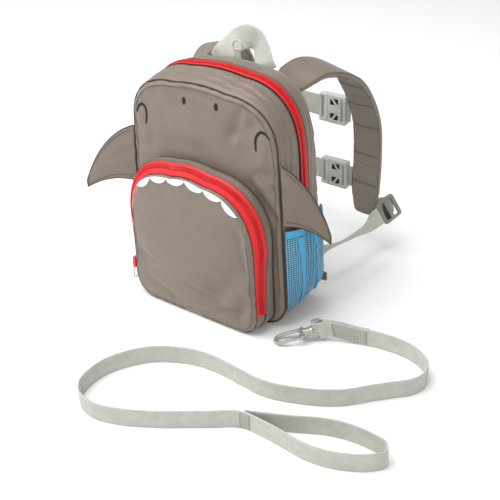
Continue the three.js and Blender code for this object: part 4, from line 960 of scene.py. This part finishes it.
first, last = share_at_x(-66), share_at_x(66)
parting = pull_in / pocket_rim["length"]
along, down = np.linspace(0, 1, 41)[:, None], np.linspace(0, 1, 13)[None, :]
arc = np.sin(np.pi * along).clip(0)
for k in range(6):
    a, b = mix(first, last, k / 6) - parting, mix(first, last, (k + 1) / 6) + parting
    x, z, ox, oz = (np.repeat(v, 13, 1) for v in at(pocket_rim, mix(a, b, along)))
    inward = 1.2 + 7 * mix(0.12, 1, arc ** 0.6) * down
    x, z = x - ox * inward, z - oz * inward
    dome = 0.45 * (arc ** 0.5) * np.sqrt(np.clip(1 - down**4, 0, 1))
    points = np.stack([x, pocket_cloth(x, z) - 0.75 - dome, z], -1)
    tooth = thickened(surface(f"scallop_{k + 1}", points, facing=towards(0, -1, 0)), 0.6)
    dressed(tooth, white_cloth, f"tooth_{k + 1}", slot="tooth_cloth")
print("scallops made from share", round(first, 3), "to", round(last, 3))

# %% Eyes and nostrils
def stroke(name, line, width, height):
    """A thin ribbon laid on the front panel: an oval section, narrowed towards both ends,
    carried along a smooth line whose depth comes from the panel's surface."""
    shares = np.linspace(0, 1, 60)
    flat = through(np.array([(x, 0, z) for x, z in line], float), shares)
    flat[:, 1] = front_cloth(flat[:, 0], flat[:, 2]) - 0.15
    slope = unit(np.gradient(flat, axis=0))
    out = squared(np.array([[0, -1.0, 0]]), slope)
    narrow = 0.45 + 0.55 * np.sin(np.pi * shares) ** 0.4
    points = carried(flat, np.cross(slope, out), out, pillow(14, 0.8), width * narrow, height * narrow)
    return dressed(surface(name, points, ring_columns=True, caps=True), black_thread)


stroke("eye_left", [(-83, 207), (-80.5, 213.5), (-75, 217.5), (-70.5, 214.5), (-69.5, 207),
                    (-71, 197)], 2.9, 1.1)
stroke("eye_right", [(84, 215), (79.5, 220), (74, 220.5), (69.5, 215), (68, 208), (68.5, 200)], 2.9, 1.1)
for name, x, z in (("nostril_left", -18, 233), ("nostril_right", 22, 235)):
    angle = np.linspace(0, 2 * np.pi, 28, endpoint=False)[None, :]
    ring = np.linspace(1, 0.12, 7)[:, None]
    px, pz = x + 2.7 * ring * np.cos(angle), z + 4.3 * ring * np.sin(angle)
    points = np.stack([px, front_cloth(px, pz) + 0.3 - 0.9 * np.sqrt(1 - (ring * 0.98) ** 2), pz], -1)
    middle = (x, float(front_cloth(np.array(float(x)), np.array(float(z)))) - 0.6, z)
    nostril = surface(name, points, ring_columns=True, middle=middle, facing=towards(0, -1, 0))
    dressed(thickened(nostril, 0.35), black_thread)
print("face marks made")

# %% [markdown]
# ## Fins
# Each fin is a padded cloth pocket, sewn into the front side seam and pointed at its tip. The
# left one flops forward and the right one lies back along the bag. Its two faces are one tube of
# points that closes at the edges, and the padding is thickest in the middle of each section.

# %% Fin surfaces
def side_x(height):
    """Half the bag's width at a height."""
    return float(at(bag_outline, share_at(bag_outline, height))[0])


def fin_grid(side, tip, off):
    """A fin as sections from root to tip: a line from root to tip bowed upwards, its thickness
    the root of a sine both ways, and its edge a thin sewn rim with folds from the root."""
    along, up = np.linspace(0, 1, 60)[:, None], np.linspace(0, 1, 44)[None, :]
    middle_x, heights = side_x(156), np.linspace(120, 192, 37)
    root_z = mix(123, 189, up)
    root_x = np.interp(root_z, heights, [side_x(height) for height in heights])
    out, back, rise = tip
    bow = 4 * along * (1 - along) * 66 * mix(0.1, 0.16, up)
    x = mix(root_x + off, middle_x + out, along) + bow * 0.5 * up
    y = mix(front_y + off, front_y + back, along) + 0 * up
    z = mix(root_z, 156 + rise + 8 * (up - 0.5), along) + bow
    line = unit(np.array([out, back, rise], float))
    normal = unit(np.cross(line, np.array([0, 0, 1.0])))
    full = np.sin(np.pi * up).clip(0) ** 0.5 * np.sin(np.pi * mix(0.12, 0.97, along)) ** 0.5
    half = mix(1.2, 5.4, full) / 2
    folds = 0.55 * np.sin(up * 19 + along * 3) * np.exp(-along / 0.35) * np.sin(np.pi * up)
    faces = [np.stack([x, y, z], -1) + normal * (s * half + folds)[..., None] for s in (1, -1)]
    ring = np.concatenate([faces[0], faces[1][:, ::-1]], 1)
    return ring * np.array([side, 1, 1])


fins = [("fin_left", fin_grid(-1, (66, -14, -48), 1.0)), ("fin_right", fin_grid(1, (40, 32, -52), 1.9))]
for name, grid in fins:
    fin = surface(f"{name}_cloth", grid, ring_columns=True, caps=True)
    dressed(fin, body_cloth, name, slot="body_cloth")
for name, grid in fins:
    out = unit(grid[30, 10] - grid[30, 77])
    faces = [np.vstack([grid[3:55, first], grid[56, tip], grid[54:2:-1, last]])
             for first, tip, last in ((40, slice(34, 10, -4), 4), (47, slice(53, 77, 4), 83))]
    rows = [(face + way * out * 0.15, way * out) for face, way in zip(faces, (1, -1))]
    stitches(f"{name}_stitches", rows, 3.0)
    # A dark line of painted shade runs along each fin's sewn rim.
    edge = np.vstack([grid[1:58, 43], grid[58, 43:0:-6], grid[57:0:-1, 0]])
    seam_line(f"{name}_edge", edge, out, 0.6)
print("fins made:", len(fins))

# %% [markdown]
# ## Net side pockets
# The side pockets are knitted net gathered into an elastic binding. The pouch is the bag's wall
# pushed out by a product of sines, with upright folds as Gaussians and two slanting pleats laid
# over it. The net's holes are a pattern on the piece's own map, because thousands of real holes
# would be too heavy.

# %% Pouches and bindings
folds = [(0.34, 0.07, -3.5), (0.46, 0.05, 2.5), (0.62, 0.08, -3.0)]
low_share, top_share = share_at(bag_outline, 24), share_at(bag_outline, 117)
split_share = share_at(bag_outline, 109)


def pouch(shares, lift, rows, columns, ruffle, pleat=None):
    """Points of a side pocket: the bag's wall pushed out by sines in depth and height, with
    pleats as Gaussians in depth and a fine ruffle under the elastic. pleat gives the depths
    at its foot and at its top of a narrow slanting strip instead of the whole width."""
    share = np.linspace(*shares, rows)[:, None]
    height = (share - low_share) / (top_share - low_share)
    deep = np.linspace(0, 1, columns)[None, :]
    if pleat:
        deep = mix(*pleat, height) + (deep - 0.5) * mix(0.05, 0.13, height)
    belly = np.sin(np.pi * deep).clip(0) ** 0.8 * np.sin(np.pi * 0.5 * np.minimum(1, height * 1.4)) ** 0.8
    fold_sum = sum(s * np.exp(-(((deep - p) / w) ** 2)) for p, w, s in folds)
    fine_fold = ruffle * np.sin(deep * 70 + 3 * np.sin(height * 5)) * smooth(height) * belly
    reach = 0.6 + np.maximum(0, (11 + fold_sum) * belly) + lift + fine_fold
    share, deep_y = np.broadcast_arrays(share, mix(-34.5, 34.5, deep))
    edge = 1.2 * np.sin(np.pi * np.linspace(0, 1, columns))[None, :] ** 0.5 if pleat else 0
    return bag_wall(share, deep_y, reach + edge)


def sheet(name, points, flip, thickness, material, *node):
    """One sheet of a side pocket, mirrored for the left side."""
    piece = thickened(surface(name, points * [flip, 1, 1], facing=outward), thickness)
    return dressed(piece, material, *node, slot="side_mesh")


for label, flip in (("right", 1), ("left", -1)):
    net_points = pouch((low_share, split_share - 0.0004), 1.2, 60, 120, 0.35)
    sheet(f"net_{label}", net_points, flip, 1.0, net_cloth, f"mesh_pocket_{label}")
    for k, ends in enumerate(((0.72, 0.42), (0.3, 0.2))):
        pleat = pouch((low_share + 0.002, split_share - 0.0008), 1.5, 60, 12, 0.0, ends)
        sheet(f"pleat_{label}_{k + 1}", pleat, flip, 0.5, binding_cloth)
    elastic = pouch((split_share, top_share), 2.3, 14, 120, 0.3)
    sheet(f"elastic_{label}", elastic, flip, 2.0, binding_cloth, f"mesh_binding_{label}")
print("side pockets made")

# %% [markdown]
# ## Shoulder straps
# A padded strap is thin where it is sewn to the bag, then fills out, and its end is rounded. Its
# inner face is a darker lining with box-stitched channels. The section is a rounded oblong
# carried along the strap's line, and the channels are narrow grooves in that section.

# %% Padded straps
strap_top, strap_drop, strap_reach, strap_out = 250, 202, 119, 81
strap_rows = np.array([
    (0, 0, 0.036, 0.86, 0, -0.51), (0, 0.05, 0.036, 0.86, 0, -0.51),
    (0.25, 0.28, 0.015, 0.95, 0, -0.32), (0.48, 0.5, 0.05, 0.97, -0.05, -0.24),
    (0.7, 0.71, 0.13, 0.98, -0.08, -0.14), (0.87, 0.87, 0.27, 1, -0.08, -0.05),
    (0.98, 0.97, 0.43, 1, -0.08, 0), (1, 1, 0.62, 1, -0.08, 0),
    (0.97, 1, 0.82, 1, -0.08, 0), (0.93, 0.98, 1, 1, -0.08, 0)])


def strap_line(flip):
    """Centre points and width directions of a strap, from the shares in the table. The left
    one is rooted a little wider and arches higher, as in the photograph."""
    root, lift = (54, 0) if flip > 0 else (61, 4)
    back = strap_rows[:, 1]
    height = strap_top + lift * np.maximum(0, 4 * (back - 0.25) * (1 - back)) - strap_rows[:, 2] * strap_drop
    across = flip * mix(root, strap_out, strap_rows[:, 0])
    points = np.stack([across, 36.8 + back * strap_reach, height], 1)
    return points, strap_rows[:, 3:] * np.array([flip, 1, 1])


def strap(label, flip):
    """A padded strap: width and thickness grow over the first fifth and round off at the end,
    and grooves across and along the inner face stand for its stitched channels."""
    shares = np.linspace(0, 1, 221)
    centre, across, thick = frames_along(*strap_line(flip), shares)
    seam, tail = smooth(shares / 0.2), np.sqrt(np.minimum(1, (1 - shares) / 0.09).clip(0))
    width, thickness = mix(28, 36, seam) * mix(0.5, 1, tail), mix(3, 7, seam) * mix(0.6, 1, tail)
    section = pillow(48, 0.42)
    points = carried(centre, across, thick, section, width, thickness)
    inner = (section[:, 1] * flip > 0.3)[None, :]
    crosswise = np.exp(-(((shares[:, None] * 14) % 1 - 0.5) / 0.05) ** 2)
    lengthwise = np.exp(-(((np.abs(section[None, :, 0]) - 0.33) / 0.02) ** 2))
    fade = smooth((shares[:, None] - 0.12) / 0.1)
    groove = np.where(inner, 1.0, 0.25) * np.minimum(crosswise + lengthwise, 1) * fade * 0.9
    points = points - thick[:, None] * (np.sign(section[None, :, 1]) * groove)[..., None]
    piece = surface(f"strap_{label}", points, ring_columns=True, caps=True)
    dressed(piece, body_cloth, f"shoulder_strap_{label}", slot="body_cloth")
    piece.data.materials.append(lining_cloth)
    index = np.zeros(len(piece.data.polygons), np.int32)
    index[: 220 * 48] = np.tile((section[:, 1] * flip > 0.1) & (np.roll(section[:, 1], -1) * flip > 0.1), 220)
    piece.data.polygons.foreach_set("material_index", index)
    outward_of = thick[:, None] * np.sign(section[None, :, 1:])
    rows = [(points[14:208, k] + outward_of[14:208, k] * 0.1, outward_of[14:208, k]) for k in (3, 20, 27, 44)]
    columns = slice(4, 20) if flip > 0 else slice(28, 44)
    rows += [(points[k, columns] + outward_of[k, columns] * 0.3, outward_of[k, columns])
             for k in range(40, 206, 22)]
    stitches(f"strap_{label}_stitches", rows, 3.0)
    return piece


for label, flip in (("right", 1), ("left", -1)):
    print(strap(label, flip).name, "made")

# %% [markdown]
# ## Webbing
# Handle, chest straps and adjusting straps are ribbed webbing of one section, with flat faces
# and rounded selvedges. Each is that section carried along its own line, and turns with the
# width directions given beside the points, just as a real strap twists between two seams.

# %% Webbing pieces
def webbing_piece(name, points, widths, width, steps, node):
    """Webbing of a given width through points, standing for one CAD node."""
    frames = frames_along(np.asarray(points, float), np.asarray(widths, float), np.linspace(0, 1, steps))
    return dressed(ribbon(name, frames, width), webbing_cloth, node, slot="webbing")


handle_middle, handle_span, handle_lean, handle_rise = -1.5, 62, 14, 28
handle_rows = np.array([
    (-0.5, 0.14, -0.34, -0.87, 0, 0.47), (-0.42, 0.16, -0.08, -0.87, 0, 0.48),
    (-0.29, 0.5, 0.3, -0.74, 0.3, 0.62), (-0.13, 0.9, 0.58, -0.38, 0.22, 0.9),
    (0.04, 1, 0.66, 0.06, 0, 1), (0.2, 0.9, 0.54, 0.5, -0.08, 0.85),
    (0.32, 0.55, 0.24, 0.82, -0.1, 0.54), (0.42, 0.18, -0.08, 0.87, 0, 0.48),
    (0.5, 0.14, -0.34, 0.87, 0, 0.47)])
across_share, lean, rise = handle_rows[:, :3].T
handle_points = np.stack([handle_middle + across_share * handle_span, 37.7 + (lean - 0.1) * handle_lean,
                          back_height + rise * handle_rise], 1)
webbing_piece("handle_webbing", handle_points, handle_rows[:, 3:], wide_webbing, 180, "handle")


def strap_at(height, flip):
    """The point of a strap's centre line on its hanging stretch at a height."""
    line = through(strap_line(flip)[0], np.linspace(0.45, 1, 2000))
    return np.array([np.interp(-height, -line[:, 2], line[:, k]) for k in range(3)])


for level_name, height in (("upper", 171), ("lower", 89)):
    depth = strap_at(height, 1)[1]
    inner_x = min(strap_at(height + h * wide_webbing / 2, 1)[0] for h in (-1, 0, 1)) - 18.3
    for label, a, b in (("right", 56.3, inner_x), ("left", -inner_x, 21.7)):
        t = np.linspace(0, 1, 9)
        dip = 3 * 4 * t * (1 - t) * abs(b - a) / (2 * inner_x)
        points = np.stack([mix(a, b, t), depth + dip, 0 * t + height], 1)
        node = f"chest_{level_name}_{label}"
        webbing_piece(f"{node}_webbing", points, np.tile([0, 0, 1.0], (9, 1)), wide_webbing, 40, node)

lock_across = unit(np.array([0.5, 0.12, -0.86]))
lock_travel = unit(np.array([-0.25, -0.93, -0.27]))
lock_length, lock_bar, half_lock, half_strap, ease = 27, 4.5, 2, 3.5, 1.2
for label, flip in (("right", 1), ("left", -1)):
    sign = np.array([flip, 1, 1])
    across, travel, centre = lock_across * sign, lock_travel * sign, np.array([106, 165, 55]) * sign
    normal = unit(np.cross(across, travel))
    along = unit(np.cross(normal, across))
    inward = normal * (-flip * np.sign(normal[0]))
    tab_end = centre + along * (lock_bar - lock_length) / 2 + inward * (half_lock + webbing / 2 + ease)
    on_strap = strap_at(54, flip) + [flip * 8, half_strap + ease + webbing, 0]
    tab_points = [on_strap, mix(on_strap, tab_end, 0.5), tab_end]
    webbing_piece(f"tab_{label}", tab_points, [across] * 3, narrow_webbing, 24, f"strap_tab_{label}")
    near_bar = centre + along * (lock_length / 2 + slip)
    seat = np.array([flip * 84, 36.8, 49])
    rows = [near_bar, near_bar + along * 8, mix(near_bar, seat, 0.35) + [flip * 3, 0, -2],
            mix(near_bar, seat, 0.7) + [flip * 4, 0, 0], seat + [flip, 9, 0], seat]
    widths = [-across] * 2 + [[flip * a, 0, c] for a, c in ((0.5, 0.87), (0.72, 0.7), (0.3, 1), (0.2, 1))]
    webbing_piece(f"adjuster_{label}", rows, widths, narrow_webbing, 140, f"lower_webbing_{label}")

# The fold at the hook and the foot of the hand loop are sewn through with close rows.
foot_of_loop = reach[np.argmin(np.linalg.norm(fine[:, :2] - [152, -184], axis=1))]
for name, near, far in (("fold", 7, 42), ("hand_loop", foot_of_loop - 3, foot_of_loop + 7)):
    centre, across, thick = tether_frames(np.linspace(near, far, 40))
    upright = np.linspace(-8.5, 8.5, 20)[:, None]
    rows = []
    for side in (1, -1):
        skin = centre + thick * side * 0.92
        rows += [(skin + across * height, thick * side) for height in np.linspace(-7.5, 7.5, 7)]
        rows += [(skin[k] + across[k] * upright, thick[k] * side) for k in (0, 1, -2, -1)]
    stitches(f"{name}_stitches", rows, 2.4, tether_thread)
print("webbing made")

# %% [markdown]
# ## Moulded parts
# Buckles, locks, sliders and the hook are plastic with small rounded edges. Their solids already
# have the right shape, so a copy of each has its loose triangles merged and its sharp edges
# beveled. That keeps every hole and prong where the frame has it.

# %% Rounded copies of the moulded parts
def rounded_copy(node, name, material, width, body="bag", slot="buckles"):
    """A merged copy of a CAD solid, its flat faces joined and its sharp edges beveled."""
    mesh = nodes[node].data.copy()
    mesh.name = name
    shape = bmesh.new()
    shape.from_mesh(mesh)
    bmesh.ops.remove_doubles(shape, verts=shape.verts, dist=2e-5)
    bmesh.ops.dissolve_limit(shape, angle_limit=math.radians(2), verts=shape.verts, edges=shape.edges)
    shape.to_mesh(mesh)
    shape.free()
    for k in range(len(mesh.uv_layers) - 1, -1, -1):
        mesh.uv_layers.remove(mesh.uv_layers[k])
    mesh.shade_smooth()
    piece = placed(name, mesh, body)
    edge = piece.modifiers.new("rounded", "BEVEL")
    edge.width, edge.segments, edge.limit_method, edge.angle_limit = width * MM, 2, "ANGLE", math.radians(32)
    edge.harden_normals = True
    return dressed(piece, material, node, slot=slot)


for node in ("upper_socket", "upper_plug", "lower_socket", "lower_plug"):
    rounded_copy(node, node + "_moulded", buckle_plastic, 0.7)
# Each opening of a socket gets a dark plate, painted shade for the shadow inside it, and a light rib across
# it.
for node in ("upper_socket", "lower_socket"):
    box = np.array([nodes[node].matrix_world @ Vector(corner) for corner in nodes[node].bound_box]) / MM
    low, middle = box.min(0), (box.min(0) + box.max(0)) / 2
    for side, up in ((-1, -1), (-1, 1), (1, -1), (1, 1)):
        wx, y, wz = low[0] + 8.6, middle[1] + side * 2.72, middle[2] + up * 8.7
        flat = np.array([[(wx + a * 5.2, y, wz + c * 3.9) for a in (-1, 1)] for c in (-1, 1)])
        window = surface(f"{node}_dark_{side}_{up}", flat, facing=towards(0, side, 0))
        dressed(thickened(window, 0.12), window_painted_shade, slot="buckles")
        t = np.linspace(0, 1, 24)
        wave = up * (3.6 * np.cos(np.pi * t) + 0.8 * np.sin(2 * np.pi * t))
        bow = np.stack([mix(wx - 5.4, wx + 5.4, t), 0 * t + middle[1] + side * 3.7, wz + wave], 1)
        wide = np.cross(unit(np.gradient(bow, axis=0)), np.array([0, 1.0, 0]))
        rib = carried(bow, wide, np.repeat(np.array([[0, 1.0, 0]]), 24, 0), pillow(12, 0.5), 2.4, 1.5)
        rib = surface(f"{node}_rib_{side}_{up}", rib, ring_columns=True, caps=True)
        dressed(rib, buckle_plastic, slot="buckles")
for label in ("left", "right"):
    rounded_copy(f"ladder_lock_{label}", f"lock_{label}_moulded", lock_plastic, 0.6)
hook_parts = [rounded_copy(node, node + "_moulded", hook_plastic, width, body)
              for node, width, body in (("snap_hook", 0.35, "hook"), ("hook_gate", 0.35, "gate"),
                                        ("swivel_eye", 0.4, "bag"))]
path = tether_frames(np.linspace(0, tether_length, 200))[0] * MM
rounded_copy("tether_ring", "ring_moulded", buckle_plastic, 0.2)
rounded_copy("main_slider", "main_slider_metal", red_metal, 0.5, slot="zipper")
rounded_copy("pocket_slider", "pocket_slider_metal", red_metal, 0.5, slot="zipper")
rounded_copy("pocket_pull", "pocket_pull_wire", wire_metal, 0.2, "pull", slot="zipper")
ring_tab = nodes["ring_tab"]
ring_tab.data.materials.clear()
ring_tab.data.materials.append(webbing_cloth)
for label in ("left", "right"):
    rounded_copy(f"anchor_tab_{label}", f"anchor_{label}_cloth", body_cloth, 0.5, slot="body_cloth")
print("moulded parts made")

# %% [markdown]
# ## Floor and light
# The photograph is a catalogue picture on white, so the floor is plain and pale and the light is
# broad and soft: a large panel above, a weaker one on each side, and an even pale surround.

# %% Floor, lights and surround
floor_mesh = bpy.data.meshes.new("floor")
floor_mesh.from_pydata([(-6, -6, 0), (6, -6, 0), (6, 6, 0), (-6, 6, 0)], [], [(0, 1, 2, 3)])
floor = bpy.data.objects.new("floor", floor_mesh)
bpy.context.scene.collection.objects.link(floor)
floor_paint = moulded("floor_paint", (0.93, 0.93, 0.93, 1), (0.96, 0.96, 0.96, 1), 0.85)
floor.data.materials.append(floor_paint)


def panel_light(name, place, aim, size, power):
    """A square area light that looks at a point."""
    lamp = bpy.data.objects.new(name, bpy.data.lights.new(name, "AREA"))
    lamp.data.size, lamp.data.energy = size, power
    direction = Vector(aim) - Vector(place)
    lamp.matrix_world = Matrix.Translation(place) @ direction.to_track_quat("-Z", "Y").to_matrix().to_4x4()
    bpy.context.scene.collection.objects.link(lamp)


panel_light("top_light", (-0.3, -0.4, 1.6), (0, 0, 0.1), 1.4, 28)
panel_light("left_light", (-1.5, -0.9, 0.9), (0, 0, 0.1), 1.0, 9)
panel_light("right_light", (1.2, -1.5, 1.0), (0, 0, 0.1), 1.2, 6)
world = bpy.data.worlds.new("studio")
bpy.context.scene.world = world
world.use_nodes = True
surround = world.node_tree.nodes["Background"]
surround.inputs["Color"].default_value = (1, 1, 1, 1)
surround.inputs["Strength"].default_value = 0.55
print("lights set")
